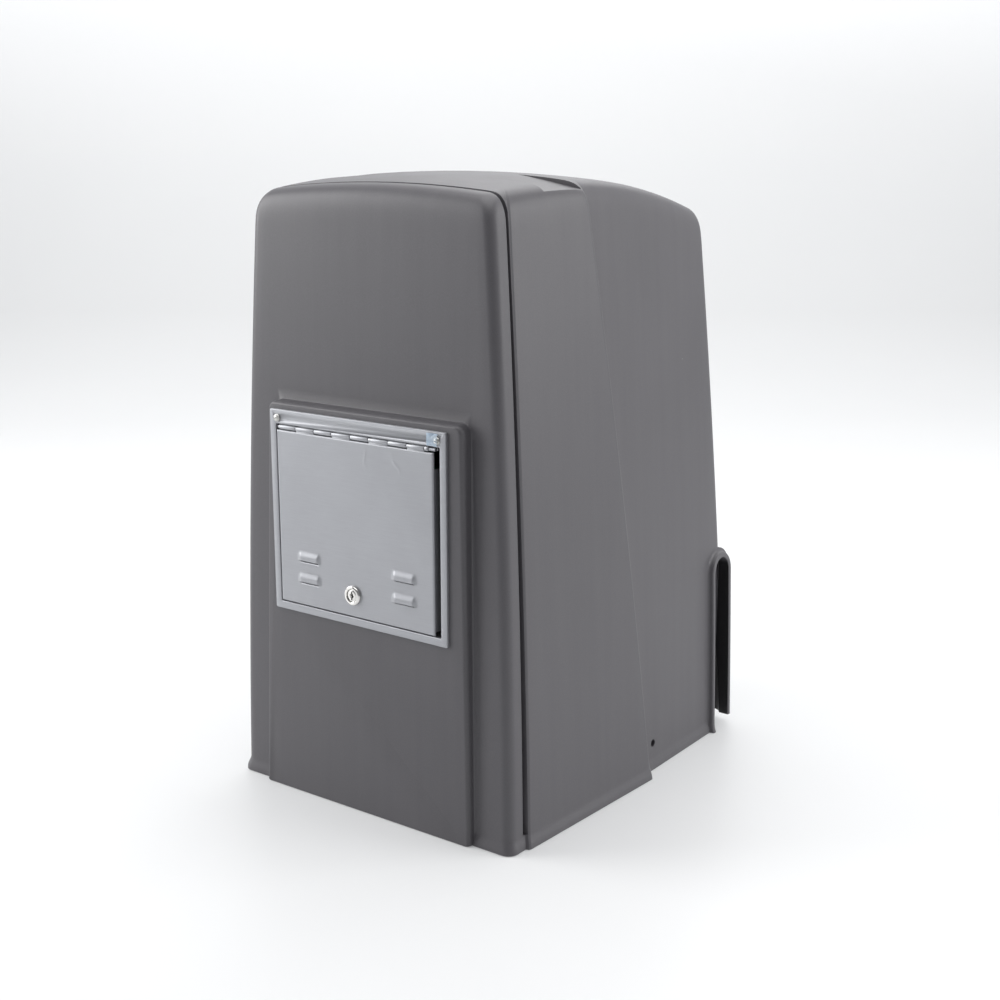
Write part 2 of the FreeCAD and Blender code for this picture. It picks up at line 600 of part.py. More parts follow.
keep(cut(fillet(cyl(39, 20.5, (wx, wy, 288)), 3, lambda e: e.Curve.TypeId == "Part::GeomCircle" and e.CenterOfMass.z > 300),
         [cyl(37.3, 18.9, (wx, wy, 287.9))] + holes, "fan_cover"))

keep(fuse([fillet(cyl(19, 86, (-56, -14, 172)), 2.5, lambda e: e.Curve.TypeId == "Part::GeomCircle"),
           cyl(12, 3, (-56, -14, 257)), box(-61.5, -59.5, -17, -11, 259, 268), box(-52.5, -50.5, -17, -11, 259, 268)], "run_capacitor"))
keep(cut(fuse([cyl(20.4, 12, (-56, -14, 205)), box(-60, -52, -40, -33, 205, 217)]), [cyl(19, 14, (-56, -14, 204)), box(-58, -54, 3, 10, 200, 220)],
         "capacitor_clamp"))

# ---------------------------------------------------------------- control bracket and electronics
web = pad(None, "XZ_Plane", [[(-cb_x, plate_z), (cb_x, plate_z), (cb_x, 320), (cb_x - 10, cb_z), (-cb_x + 10, cb_z), (-cb_x, 320)],
                             rect(-30, 30, 20, 70), rect(-60, 60, 214, 226)], 2, (0, cb_y, 0), [(0, rel_z, 7.95)])
foot = box(-cb_x, cb_x, cb_y - 2, -20, plate_z, plate_z + 2.5)
edge = [box(-cb_x, -cb_x + 2, cb_y - 2, cb_y + 9, 9, 318), box(cb_x - 2, cb_x, cb_y - 2, cb_y + 9, 9, 318)]
keep(cut(fuse([web, foot] + edge), [cyl(2.5, 10, (x, y, 3)) for x, y in M5[2:]], "control_bracket"))
SP = [(-64, 196), (64, 196), (-64, 324), (64, 324)]
keep(pad("control_board", "XZ_Plane", [rect(-70, 70, 190, 330)], 1.6, (0, -50, 0), [(x, z, 2.0) for x, z in SP]))
keep(group([fuse([cyl(3.2, 8, (x, -50, z), "y"), cyl(1.95, 3, (x, -52, z), "y"), cyl(3.4, 1.5, (x, -53.1, z), "y")]) for x, z in SP], "board_spacers"))


def strip(x0, n, pitch):
    b = box(x0, x0 + n * pitch, -62.6, -51.6, 200, 212)
    t = []
    for i in range(n):
        t.append(box(x0 + pitch * i + 0.9, x0 + pitch * (i + 1) - 0.9, -60.5, -55, 198, 204))
        t.append(cyl(1.6, 4, (x0 + pitch * (i + 0.5), -63.1, 208), "y"))
    return cut(b, t)


keep(group([strip(-56, 8, 5), strip(-12, 6, 5), strip(22, 7, 5)], "terminal_strips"))
keep(group([box(x, x + 16, -67.6, -51.6, 262, 283) for x in (-58, -38, -18)], "relays"))
tr = [box(14, 52, -78.6, -51.6, 252, 286), box(18, 48, -80.6, -77, 258, 280)]
keep(fuse(tr, "board_transformer"))
keep(fuse([box(-56, -30, -57, -51.6, 236, 246), cyl(3, 22, (-54, -59, 241), "x"), box(-56, -51, -62, -51.6, 236, 246), box(-35, -30, -62, -51.6, 236, 246)],
          "fuse_holder"))
mt = box(34, 74, -58, -42, 84, 106)
mtt = []
for i in range(4):
    mtt.append(cyl(3, 8, (39 + 10 * i, -60, 95), "y"))
    mtt.append(box(36.5 + 10 * i, 41.5 + 10 * i, -56, -48, 82, 90))
keep(cut(mt, mtt, "mains_terminal"))

keep(cut(fuse([box(-44, 0, 88, 100, gb_z1, gb_z1 + 2), box(-44, 0, 98, 100, gb_z1, 186)]),
         [cyl(1.6, 6, (-36, 92, gb_z1 - 1)), cyl(1.6, 6, (-8, 92, gb_z1 - 1))], "sensor_bracket"))
keep(fuse([fillet(box(-42, -2, 100, 113, 160, 184), 2, vertical), cyl(4, 10, (-50, 106, 172), "x")], "limit_sensor"))

# ---------------------------------------------------------------- pinion
n = pin_t
pr = num(pin_m) * n / 2
ra, rf = pr + num(pin_m), pr - 1.25 * num(pin_m)
pts = []
for i in range(n):
    a = 2 * math.pi * i / n
    for rr, off in ((rf, -0.072), (rf + 0.9, -0.060), (pr, -0.0435), (ra - 0.6, -0.022), (ra, -0.014), (ra, 0.014), (ra - 0.6, 0.022), (pr, 0.0435),
                    (rf + 0.9, 0.060), (rf, 0.072)):
        pts.append((rr, a + off * 2))
poly = [V(r * math.sin(a), 0, r * math.cos(a)) for r, a in pts]
face = Part.Face(Part.makePolygon(poly + [poly[0]]))
gear = shaped(None, face.extrude(V(0, num(pin_w), 0)), (0, num(pin_y0), num(out_z)))
keep(cut(gear, [cyl(jr, pin_w + 4, (0, pin_y0 - 2, out_z), "y"), box(-3, 3, pin_y0 - 1, pin_y0 + pin_w + 1, out_z + jr - 1, out_z + jr + 2.8)], "pinion"))
keep(box(-2.95, 2.95, 143.5, 167, out_z + jr - 3.4, out_z + jr + 2.5, "pinion_key"))
keep(cut(cyl(15, 2.5, (0, pin_y0 + pin_w, out_z), "y"), [cyl(4.2, 5, (0, pin_y0 + pin_w - 1, out_z), "y")], "pinion_washer"))
keep(fuse([prism(6, 7.5, 5.3, (0, 171, out_z), "y"), cyl(3.35, 24, (0, 147.2, out_z), "y")], "pinion_bolt"))


# ---------------------------------------------------------------- cover
def tx(z): return 0.02054 * z + 7.1e-5 * z * z
def ty(z): return 0.01199 * z + 1.01e-5 * z * z
def tr_(z): return 0.0762 * z - 6e-6 * z * z


def corner(cx, cy, r, a0, a1, k=3):
    return [(cx + r * math.cos(math.radians(a0 + (a1 - a0) * i / k)), cy + r * math.sin(math.radians(a0 + (a1 - a0) * i / k))) for i in range(k + 1)]


def roof_z(x, y):
    """The crowned roof: falls away to both sides and to the rear."""
    return num(cov_h) - 6.0 * (x / 100.0) ** 2 - 18.0 * ((y + 45.0) / 135.0) ** 2


def outline(z, off=0.0, inner=False):
    """Plan of the hood at one height, drawn in by off: front band, groove,
    proud side panel, crease, rear part. The inner plan has no groove."""
    k = max(0.03, 1.0 - max(0.0, off - 3.0) / 14.0)
    yf, yr = -140 + ty(z) + off, 138.5 - tr_(z) - off
    xb = 112 - tx(z) - off - (3 if inner else 0)
    xp = 112 - tx(z) - off + 7.8 * k
    yc = max(9 - 0.15 * z, yf + 26)
    xr1, xr2 = 112.2 - tx(z) - off, 109.6 - tx(z) - off
    rc = 10 - min(off, 3)
    right = corner(xb - rc, yf + rc, rc, -90, 0)
    if inner:
        right += [(xb, yf + 15), (xp, yf + 22)]
    else:
        right += [(xb, yf + 11), (xb - 2.8 * k, yf + 11.6), (xb - 2.8 * k, yf + 14.6), (xp - 2.0 * k, yf + 16.2), (xp, yf + 19)]
    right += [(xp, yc), (xr1, yc + 10)]
    rr = 12 - min(off, 3)
    right += corner(xr2 - rr, yr - rr, rr, 0, 90)
    left = [(-x, y) for x, y in reversed(right)]
    return [(x, y) for x, y in right + left]


def ring(z, off, inner, under=None, flat=False):
    """A closed wire of the plan, level at z, or lying 'under' the roof."""
    if under is None:
        return [V(x, y, z) for x, y in outline(z, off, inner)]
    n = len(outline(z, off, inner))
    pts = []
    for k in range(n):
        zz = z
        for _ in range(4):
            x, y = outline(zz, off, inner)[k]
            zz = roof_z(x, y) - under
        pts.append(V(x, y, zz))
    if flat:
        zc = max(p.z for p in pts)
        pts = [V(p.x, p.y, zc) for p in pts]
    return pts


def hood(low, off, inner, drop):
    rows = [ring(z, off, inner) for z in (low, 60, 120, 180, 240, 300)]
    rows += [ring(350, off + a, inner, under=b + drop) for a, b in ((0, 22), (0.8, 13), (3.2, 6.5), (8, 2.2), (15, 0.3), (30, 0), (55, 0))]
    rows.append(ring(350, off + 78, inner, under=drop, flat=True))
    return Part.makeLoft([Part.makePolygon(r + [r[0]]) for r in rows], True, True)


H0, WALL, TOP = num(cov_b), num(cov_w), num(cov_h)
outer = hood(H0, 0.0, False, 0.0)
inner = hood(H0 - 3, WALL, True, WALL)


def foot_plan(z, off):
    yf, yr = -140 + ty(z) + off, 138.5 - tr_(z) - off
    xb, xp, xr = 112 - tx(z) - off, 119.8 - tx(z) - off, 110.0 - tx(z) - off
    right = corner(xb - 10, yf + 10, 10, -90, 0) + [(xb, yf + 12.5), (xp, yf + 18), (xp, 9.0), (xr + 2, 20.0)] + corner(xr - 12, yr - 12, 12, 0, 90)
    pts = [V(x, y, z) for x, y in right + [(-x, y) for x, y in reversed(right)]]
    return Part.makePolygon(pts + [pts[0]])


lip = Part.makeLoft([foot_plan(H0, -1.7), foot_plan(9.5, 0.6)], True, True)
padbox = Part.makeBox(2 * num(pad_x), 11.5, num(pad_z) - H0, V(-num(pad_x), num(pad_y), H0))
pe = [e for e in padbox.Edges if abs(e.CenterOfMass.y - num(pad_y)) < 1e-6 and e.CenterOfMass.z > H0 + 1]
padbox = padbox.makeFillet(2.0, pe)
proud = hood(H0, -3.9, False, -3.9)
rims = []
for s in (-1, 1):
    x0 = 98 if s > 0 else -128
    u = Part.makeBox(30, 28.3, 118.5 - H0, V(x0, 105.1, H0)).fuse(Part.makeCylinder(14.15, 30, V(x0, 119.25, 118.5), V(1, 0, 0)))
    rims.append(u.common(proud))
body = outer.fuse([lip, padbox] + rims).cut(inner)
print("cover volume cm3", round(outer.Volume / 1000, 1), round(inner.Volume / 1000, 1), round(body.Volume / 1000, 1), body.isValid(), len(body.Solids), body.BoundBox)
moulding = shaped(None, body)
ctools = [box(-66, 63.5, -150, -128, dr_z0 - 1.3, hg_z + 3), box(-pad_x + 3, pad_x - 3, pad_y + 3, -125, -2, pad_z - 3)]
for s in (-1, 1):
    x0 = 101.5 if s > 0 else -135.5
    ctools.append(box(x0, x0 + 34, 109, 129.5, -2, 118.5))
    ctools.append(cyl(10.25, 34, (x0, 119.25, 118.5), "x"))
    ctools.append(cyl(2.6, 30, (95 if s > 0 else -125, 13, 25), "x"))
for x in (-64.5, 64):
    ctools.append(cyl(1.6, 14, (x, -150, 250), "y"))
ctools.append(box(-33, 33, 110, 150, -2, out_z))
ctools.append(cyl(33, 40, (0, 110, out_z), "y"))
keep(cut(moulding, ctools, "cover_shell"))

# ---------------------------------------------------------------- steel surround, door and lock
frame_ = pad(None, "XZ_Plane", [rect(-fr_x, fr_x, fr_z0, fr_z1), rect(dr_x0 - 0.6, dr_x1 + 2.6, dr_z0 - 1, hg_z + 2.5)], 1.9, (0, pad_y, 0),
             [(-64.5, 250, 1.6), (64, 250, 1.6)])
knuck = []
KN = [(-63, -49), (-33, -19), (-3, 11), (27, 41), (55, 62)]
for a, b in KN:
    knuck.append(cyl(2.1, b - a, (a, hg_y, hg_z), "x"))
    knuck.append(box(a, b, hg_y - 1.1, hg_y + 0.8, hg_z, hg_z + 3))
keep(cut(fuse([frame_] + knuck), [cyl(1.05, 140, (-70, hg_y, hg_z), "x")], "plate_frame"))
keep(group([cut(fuse([fillet(cyl(3.4, 1.3, (x, fr_y - 1.3, 250), "y"), 0.6, lambda e: e.Curve.TypeId == "Part::GeomCircle" and e.CenterOfMass.y < -148),
                      cyl(1.5, 9, (x, fr_y - 0.2, 250), "y")]), [box(x - 2.2, x + 2.2, fr_y - 1.6, fr_y - 0.7, 249.6, 250.4)]) for x in (-64.5, 64)],
           "plate_screws"))
keep(cyl(1.0, 126.5, (-64, hg_y, hg_z), "x", "hinge_pin"))

flap = pad(None, "XZ_Plane", [rect(dr_x0, dr_x1, dr_z0, hg_z - 2.6)], 1.3, (0, pad_y - 0.6, 0), [(lk_x, lk_z, 5.6)])
dk = []
for a, b in [(KN[i][1] + 0.5, KN[i + 1][0] - 0.5) for i in range(4)]:
    dk.append(cyl(2.1, b - a, (a, hg_y, hg_z), "x"))
    dk.append(box(a, b, pad_y - 1.9, pad_y - 0.6, hg_z - 3, hg_z - 1.2))
sides = [box(dr_x0, dr_x0 + 1.3, pad_y - 0.7, pad_y + 5, dr_z0 + 2, hg_z - 12), box(dr_x1 - 1.3, dr_x1, pad_y - 0.7, pad_y + 5, dr_z0 + 2, hg_z - 12)]
louv, lcut = [], []
for x, z in ((-51, 160), (-51, 146), (27, 160.5), (27, 146.5)):
    c1 = cone(4.4, 2.6, 2.2, (x + 4, num(pad_y) - 1.9, z + 3.2), "y")
    w = doc.addObject("Part::Wedge", name("wedge"))
    w.Xmin, w.Xmax, w.Zmin, w.Zmax, w.Ymin, w.Ymax = 0, 22, 0, 7, 0, 2.2
    w.X2min, w.X2max, w.Z2min, w.Z2max = 2, 20, 0.6, 3.4
    w.Placement = FreeCAD.Placement(V(x, num(pad_y) - 1.85, z + 7), FreeCAD.Rotation(V(1, 0, 0), 180))
    louv.append(w)
    doc.removeObject(c1.Name)
    lcut.append(box(x + 2.6, x + 19.4, num(pad_y) - 3.4, num(pad_y) + 1, z - 0.1, z + 1.2))
keep(cut(fuse([flap] + dk + sides + louv), [cyl(1.05, 140, (-70, hg_y, hg_z), "x")] + lcut, "door_flap"))

keep(cut(fuse([fillet(cyl(6.3, 1.9, (lk_x, fr_y - 1.9, lk_z), "y"), 0.7, lambda e: e.Curve.TypeId == "Part::GeomCircle" and e.CenterOfMass.y < -148.9),
               cyl(5.5, 13, (lk_x, fr_y - 0.5, lk_z), "y")]), [cyl(4.05, 20, (lk_x, fr_y - 3, lk_z), "y")], "lock_barrel"))
keep(cut(prism(6, 8.6, 3.2, (lk_x, -144.7, lk_z), "y"), [cyl(5.5, 10, (lk_x, -150, lk_z), "y")], "lock_nut"))
keep(cut(fuse([cyl(4, 14.9, (lk_x, fr_y - 1.9, lk_z), "y"), box(lk_x - 2.5, lk_x + 2.5, -134.5, -131.6, lk_z - 2.5, lk_z + 2.5)]),
         [box(lk_x - 0.6, lk_x + 0.6, fr_y - 3, fr_y + 4, lk_z - 2.8, lk_z + 2.8), cyl(1.4, 8, (lk_x, -139, lk_z), "y")], "lock_plug"))
cam = pad(None, "XZ_Plane", [[(-7, -7), (3, -7), (26, -5), (27, 0), (26, 5), (3, 7), (-7, 7)]], 2.6, (lk_x, -131.7, lk_z))
keep(cut(cam, [box(lk_x - 2.5, lk_x + 2.5, -136, -130, lk_z - 2.5, lk_z + 2.5)], "lock_cam"))
keep(fuse([cyl(4.2, 2, (lk_x, -131.6, lk_z), "y"), cyl(1.35, 6, (lk_x, -137, lk_z), "y")], "cam_screw"))

# ---------------------------------------------------------------- write
doc.recompute()
bad = []
for o in doc.Objects:
    if "Invalid" in o.State or "Error" in o.State:
        bad.append((o.Name, o.Label, o.State))
for o in out:
    s = o.Shape
    if s.isNull() or not s.isValid() or not s.Solids:
        bad.append((o.Label, "shape"))
if bad:
    for b in bad:
        print("BAD", b)
    raise SystemExit("model has failed objects")
labels = [o.Label for o in out]
if len(set(labels)) != len(labels) or len(labels) > 60:
    raise SystemExit("labels %d %s" % (len(labels), [x for x in labels if labels.count(x) > 1]))
os.makedirs("parts", exist_ok=True)
for o in out:
    o.Shape.exportStep("parts/%s.step" % o.Label)
    print("%-20s solids %2d  vol %9.2f cm3" % (o.Label, len(o.Shape.Solids), o.Shape.Volume / 1000))
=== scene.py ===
import json
import math
import time
import bpy
import bmesh
import numpy as np
from mathutils import Vector, Matrix, noise


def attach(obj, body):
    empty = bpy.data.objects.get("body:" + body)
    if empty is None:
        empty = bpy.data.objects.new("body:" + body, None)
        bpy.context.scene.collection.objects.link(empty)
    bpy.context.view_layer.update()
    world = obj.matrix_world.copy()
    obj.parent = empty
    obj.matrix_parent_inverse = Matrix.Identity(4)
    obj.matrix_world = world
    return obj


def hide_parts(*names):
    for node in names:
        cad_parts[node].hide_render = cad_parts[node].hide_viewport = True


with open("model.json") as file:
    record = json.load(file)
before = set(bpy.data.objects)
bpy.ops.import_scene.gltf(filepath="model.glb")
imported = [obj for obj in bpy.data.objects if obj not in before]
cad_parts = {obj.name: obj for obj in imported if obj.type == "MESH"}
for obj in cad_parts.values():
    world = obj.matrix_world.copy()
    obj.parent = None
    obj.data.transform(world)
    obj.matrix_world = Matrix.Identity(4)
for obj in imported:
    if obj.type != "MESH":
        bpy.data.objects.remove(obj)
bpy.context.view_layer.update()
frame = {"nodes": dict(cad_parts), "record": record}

T0 = time.time()


def lap(what):
    print("LAP %-12s %.1f s" % (what, time.time() - T0))

NODES = frame["nodes"]
MM = 0.001
scene = bpy.context.scene


# ------------------------------------------------------------------ helpers
def link(ob):
    scene.collection.objects.link(ob)
    return ob


def make(name, verts, faces, mm=True, smooth=35.0, merge=1e-5):
    """A mesh object from vertices in millimetres."""
    me = bpy.data.meshes.new(name)
    k = MM if mm else 1.0
    me.from_pydata([(v[0] * k, v[1] * k, v[2] * k) for v in verts], [], [tuple(f) for f in faces])
    me.validate()
    ob = link(bpy.data.objects.new(name, me))
    tidy(ob, smooth, merge)
    return ob


def tidy(ob, smooth=35.0, merge=1e-5, normals=True):
    bm = bmesh.new()
    bm.from_mesh(ob.data)
    if merge:
        bmesh.ops.remove_doubles(bm, verts=bm.verts, dist=merge)
        bmesh.ops.dissolve_degenerate(bm, dist=merge * 0.5, edges=bm.edges)
    if normals:
        bmesh.ops.recalc_face_normals(bm, faces=bm.faces)
    bm.to_mesh(ob.data)
    bm.free()
    sharp(ob, smooth)


def sharp(ob, angle):
    me = ob.data
    for p in me.polygons:
        p.use_smooth = True
    me.set_sharp_from_angle(angle=math.radians(angle))
    me.update()


def bake(ob):
    """Applies the object's modifiers to its own mesh."""
    dg = bpy.context.evaluated_depsgraph_get()
    me = bpy.data.meshes.new_from_object(ob.evaluated_get(dg), preserve_all_data_layers=True, depsgraph=dg)
    ob.modifiers.clear()
    old = ob.data
    ob.data = me
    bpy.data.meshes.remove(old)
    return ob


def boolean(ob, tool, op="DIFFERENCE", keep=False):
    """Exact boolean on meshes, tool removed after."""
    for solver in ("MANIFOLD", "EXACT"):
        m = ob.modifiers.new("b", "BOOLEAN")
        m.object = tool
        m.operation = op
        m.solver = solver
        dg = bpy.context.evaluated_depsgraph_get()
        dg.update()
        n = len(ob.evaluated_get(dg).data.polygons)
        before = len(ob.data.polygons)
        if n > 20 and n != before:
            bake(ob)
            break
        ob.modifiers.clear()
    else:
        print("BOOLEAN did nothing:", ob.name, tool.name, op)
    if not keep:
        bpy.data.objects.remove(tool)
    return ob


def grid(rows, closed=True, cap_low=False, cap_high=False):
    """Faces between equal rings of vertices."""
    verts, faces = [], []
    n = len(rows[0])
    for r in rows:
        verts += list(r)
    for i in range(len(rows) - 1):
        for j in range(n if closed else n - 1):
            a, b = i * n + j, i * n + (j + 1) % n
            faces.append((a, b, b + n, a + n))
    if cap_low:
        faces.append(tuple(range(n - 1, -1, -1)))
    if cap_high:
        faces.append(tuple(range((len(rows) - 1) * n, len(rows) * n)))
    return verts, faces


def arc(cx, cy, r, a0, a1, k):
    return [(cx + r * math.cos(math.radians(a0 + (a1 - a0) * i / k)),
             cy + r * math.sin(math.radians(a0 + (a1 - a0) * i / k))) for i in range(k + 1)]


def rounded(pts, spec):
    """Open polyline with the inner points rounded: spec gives (radius, segments) for each."""
    out = [tuple(pts[0])]
    for i in range(1, len(pts) - 1):
        r, k = spec[i - 1]
        p, a, b = (np.array(q, float) for q in (pts[i], pts[i - 1], pts[i + 1]))
        u, v = a - p, b - p
        lu, lv = np.linalg.norm(u), np.linalg.norm(v)
        u, v = u / max(lu, 1e-9), v / max(lv, 1e-9)
        c = max(-1.0, min(1.0, float(u @ v)))
        half = math.acos(c) / 2
        t = min(r / max(math.tan(half), 1e-6), 0.46 * lu, 0.46 * lv)
        s, e = p + u * t, p + v * t
        for j in range(k + 1):
            w = j / k
            q = (1 - w) ** 2 * s + 2 * w * (1 - w) * p + w * w * e
            if k >= 6:  # a true arc is rounder than the parabola
                m = (u + v)
                m = m / max(np.linalg.norm(m), 1e-9)
                rad = t * math.tan(half)
                cen = p + m * (rad / max(math.sin(half), 1e-6))
                d = q - cen
                q = cen + d / max(np.linalg.norm(d), 1e-9) * rad
            out.append((float(q[0]), float(q[1])))
    out.append(tuple(pts[-1]))
    return out


def densify(pts, longest):
    """Splits long runs into fixed numbers of steps: longest maps run index to steps."""
    out = []
    for i in range(len(pts) - 1):
        k = longest.get(i, 1)
        for j in range(k):
            w = j / k
            out.append(tuple((1 - w) * a + w * b for a, b in zip(pts[i], pts[i + 1])))
    out.append(pts[-1])
    return out


def lathe(profile, centre, axis="y", n=48, closed=True):
    """Closed solid of revolution: profile is (radius, along), from the axis out and back to the axis."""
    rows = []
    for r, a in profile:
        ring = []
        for i in range(n):
            t = 2 * math.pi * i / n
            c, s = r * math.cos(t), r * math.sin(t)
            if axis == "y":
                ring.append((centre[0] + c, centre[1] + a, centre[2] + s))
            elif axis == "x":
                ring.append((centre[0] + a, centre[1] + c, centre[2] + s))
            else:
                ring.append((centre[0] + c, centre[1] + s, centre[2] + a))
        rows.append(ring)
    return grid(rows, True, True, True)


def join(name, parts, smooth=35.0, merge=1e-5):
    """One mesh from several (verts, faces) parts in millimetres."""
    verts, faces = [], []
    for v, f in parts:
        o = len(verts)
        verts += list(v)
        faces += [tuple(i + o for i in q) for q in f]
    return make(name, verts, faces, smooth=smooth, merge=merge)


def slab(x0, x1, y0, y1, z0, z1):
    v = [(x, y, z) for z in (z0, z1) for y in (y0, y1) for x in (x0, x1)]
    return v, [(0, 2, 3, 1), (4, 5, 7, 6), (0, 1, 5, 4), (2, 6, 7, 3), (0, 4, 6, 2), (1, 3, 7, 5)]


def prism_x(poly, x0, x1):
    """Polygon in (y, z) extruded along x."""
    n = len(poly)
    v = [(x0, y, z) for y, z in poly] + [(x1, y, z) for y, z in poly]
    f = [tuple(range(n - 1, -1, -1)), tuple(range(n, 2 * n))]
    f += [(i, (i + 1) % n, (i + 1) % n + n, i + n) for i in range(n)]
    return v, f


def prism_y(poly, y0, y1):
    """Polygon in (x, z) extruded along y."""
    n = len(poly)
    v = [(x, y0, z) for x, z in poly] + [(x, y1, z) for x, z in poly]
    f = [tuple(range(n)), tuple(range(2 * n - 1, n - 1, -1))]
    f += [((i + 1) % n, i, i + n, (i + 1) % n + n) for i in range(n)]
    return v, f


def rect_round(x0, x1, z0, z1, radii, k=6):
    """Rounded rectangle, radii at (x0,z0), (x1,z0), (x1,z1), (x0,z1), counter-clockwise."""
    r0, r1, r2, r3 = radii
    out = []
    out += arc(x0 + r0, z0 + r0, r0, 180, 270, k)
    out += arc(x1 - r1, z0 + r1, r1, 270, 360, k)
    out += arc(x1 - r2, z1 - r2, r2, 0, 90, k)
    out += arc(x0 + r3, z1 - r3, r3, 90, 180, k)
    return out


def bevel(ob, width, segs=2, angle=30):
    m = ob.modifiers.new("bev", "BEVEL")
    m.width = width * MM
    m.segments = segs
    m.limit_method = "ANGLE"
    m.angle_limit = math.radians(angle)
    m.harden_normals = False
    m.miter_outer = "MITER_ARC"
    bake(ob)
    sharp(ob, 40)
    return ob


# ------------------------------------------------------------------ hood surface
def tx(z): return 0.02054 * z + 7.1e-5 * z * z
def ty(z): return 0.01199 * z + 1.01e-5 * z * z
def tr_(z): return 0.0762 * z - 6e-6 * z * z


def roof_z(x, y):
    return 400.36 - 6.0 * (x / 100.0) ** 2 - 18.0 * ((y + 45.0) / 135.0) ** 2


def half_plan(z, off, kind="outer"):
    """Right half of the plan, from the middle of the front to the middle of the rear."""
    k = max(0.02, 1.0 - max(0.0, off - 2.0) / 13.0)
    yf, yr = -140 + ty(z) + off, 138.5 - tr_(z) - off
    xb = 112 - tx(z) - off
    xp = 112 - tx(z) - off + 7.8 * k
    xq = 112 - tx(z) - off + max(0.3, 2.6 * (1 - z / 400.0)) * k
    yc = max(9 - 0.15 * z, yf + 26)
    xr1, xr2 = 112.2 - tx(z) - off, 109.6 - tx(z) - off
    rc, rr = max(1.5, 12.6 - off), max(1.5, 12 - off)
    if kind == "inner":
        xb -= 3
        rc, rr = 7.0, 9.0
    if kind == "core":
        pts = [(0, yf), (xb, yf), (xb, yf + 40), (xr1, yf + 60), (xr2, yr), (0, yr)]
        spec = [(rc, 10), (4, 2), (4, 2), (rr, 10)]
        runs = {0: 8}
        p = rounded(pts, spec)
        return densify(p, {0: 10, 11: 4, len(p) - 2: 10})
    a = 2.6 * k
    pts = [(0, yf), (xb, yf), (xb, yf + 15.2), (xq - 0.8 * k, yf + 15.9), (xq, yf + 17.4), (xp, yc), (xr1, yc + 10), (xr2, yr), (0, yr)]
    spec = [(rc, 10), (0.3 * k + 0.05, 2), (0.4 * k + 0.05, 2), (1.6, 6), (2.5, 4), (3.0, 4), (rr, 10)]
    p = rounded(pts, spec)
    # runs: 0 front, 11 band, 24 panel, 29 slope, 34 side, last rear
    return densify(p, {0: 14, 11: 3, 24: 16, 29: 2, 34: 16, len(p) - 2: 14})


def full(half):
    """Adds the mirrored half, without doubling the middle points."""
    return half + [(-x, y) for x, y in reversed(half[1:-1])]


def plan(z, off, kind="outer"):
    return full(half_plan(z, off, kind))


def under_roof(off, b, kind="outer"):
    """The plan ring laid on a surface b below the roof."""
    levels = np.arange(340.0, 404.1, 4.0)
    table = np.array([plan(z, off, kind) for z in levels])
    n = table.shape[1]
    cols = np.arange(n)
    zz = np.full(n, 380.0)
    for _ in range(8):
        f = np.clip((zz - levels[0]) / 4.0, 0, len(levels) - 1.001)
        i = f.astype(int)
        w = (f - i)[:, None]
        xy = table[i, cols] * (1 - w) + table[i + 1, cols] * w
        zz = roof_z(xy[:, 0], xy[:, 1]) - b
    return [(float(xy[k, 0]), float(xy[k, 1]), float(zz[k])) for k in range(n)]


SHOULDER = [(0.0, 20.0), (0.1, 14.6), (0.4, 11.2), (0.9, 8.7), (1.6, 6.6), (2.5, 4.8), (3.6, 3.2), (4.9, 2.0), (6.4, 1.1),
            (8.2, 0.5), (10.5, 0.18), (14.0, 0.05), (19.0, 0.0), (27.0, 0.0), (40.0, 0.0), (54.0, 0.0), (67.0, 0.0), (78.0, 0.0)]


def shell(name, low, off, kind, drop, zs, foot=True):
    rows = []
    for z in zs:
        o = off
        if foot and z < 9.5:
            w = max(0.0, min(1.0, (z - 2.2) / 7.3))
            o = off - 1.7 * (1 - (w * w * (3 - 2 * w)))
        rows.append([(x, y, z) for x, y in plan(z, o, kind)])
    for a, b in SHOULDER:
        rows.append(under_roof(off + a, b + drop, kind))
    n = len(rows[0])
    half = n // 2 + 1
    verts, faces = grid(rows, True, True, False)
    # cap: right half joined to left half over a middle line
    base = (len(rows) - 1) * n
    mid = []
    for i in range(half):
        x, y, z = rows[-1][i]
        mid.append(len(verts))
        verts.append((0.0, y, roof_z(0, y) - drop))
    for i in range(half - 1):
        a, b = base + i, base + i + 1
        faces.append((a, b, mid[i + 1], mid[i]))
        c, d = base + (n - i) % n, base + (n - i - 1) % n
        faces.append((c, mid[i], mid[i + 1], d))
    return make(name, verts, faces, merge=2e-6)


ZS = [0.5, 1.2, 2.2, 3.4, 4.6, 5.8, 7.0, 8.2, 9.5] + [12 + 8.8 * i for i in range(38)]
cover = shell("cover_moulding", 0.5, 0.0, "outer", 0.0, ZS)
inside = shell("t_inside", -3, 3.0, "inner", 3.0, [-3] + [15 + 24 * i for i in range(14)], foot=False)
core = shell("t_core", -3, 2.6, "core", 2.2, [-6] + [8 + 16 * i for i in range(21)], foot=False)

# pad under the service door: rounded, with a soft root
pad_rows = []


def pad_outline(gl, gr, gz):
    """The left edge leans in more than the right one."""
    out = []
    for x, z in rect_round(-87 - gl, 85 + gr, 0.5, 260.0 + gz, (1.0, 1.0, 5.5 + gz, 5.5 + gz), 8):
        if x < 0:
            lean = 7 * z / 120 if z < 120 else 7 + 6 * (z - 120) / 135
            x += lean * (-x / 87.0)
        else:
            x -= 4.0 * z / 255 * (x / 85.0)
        out.append((x, z))
    return out


def spread(loop):
    """Points along the straight edges, so that the pad follows the bowed face."""
    out = []
    for i in range(len(loop)):
        a, b = loop[i], loop[(i + 1) % len(loop)]
        out.append(a)
        k = pad_steps[i]
        for q in range(1, k):
            w = q / k
            out.append((a[0] + (b[0] - a[0]) * w, a[1] + (b[1] - a[1]) * w))
    return out


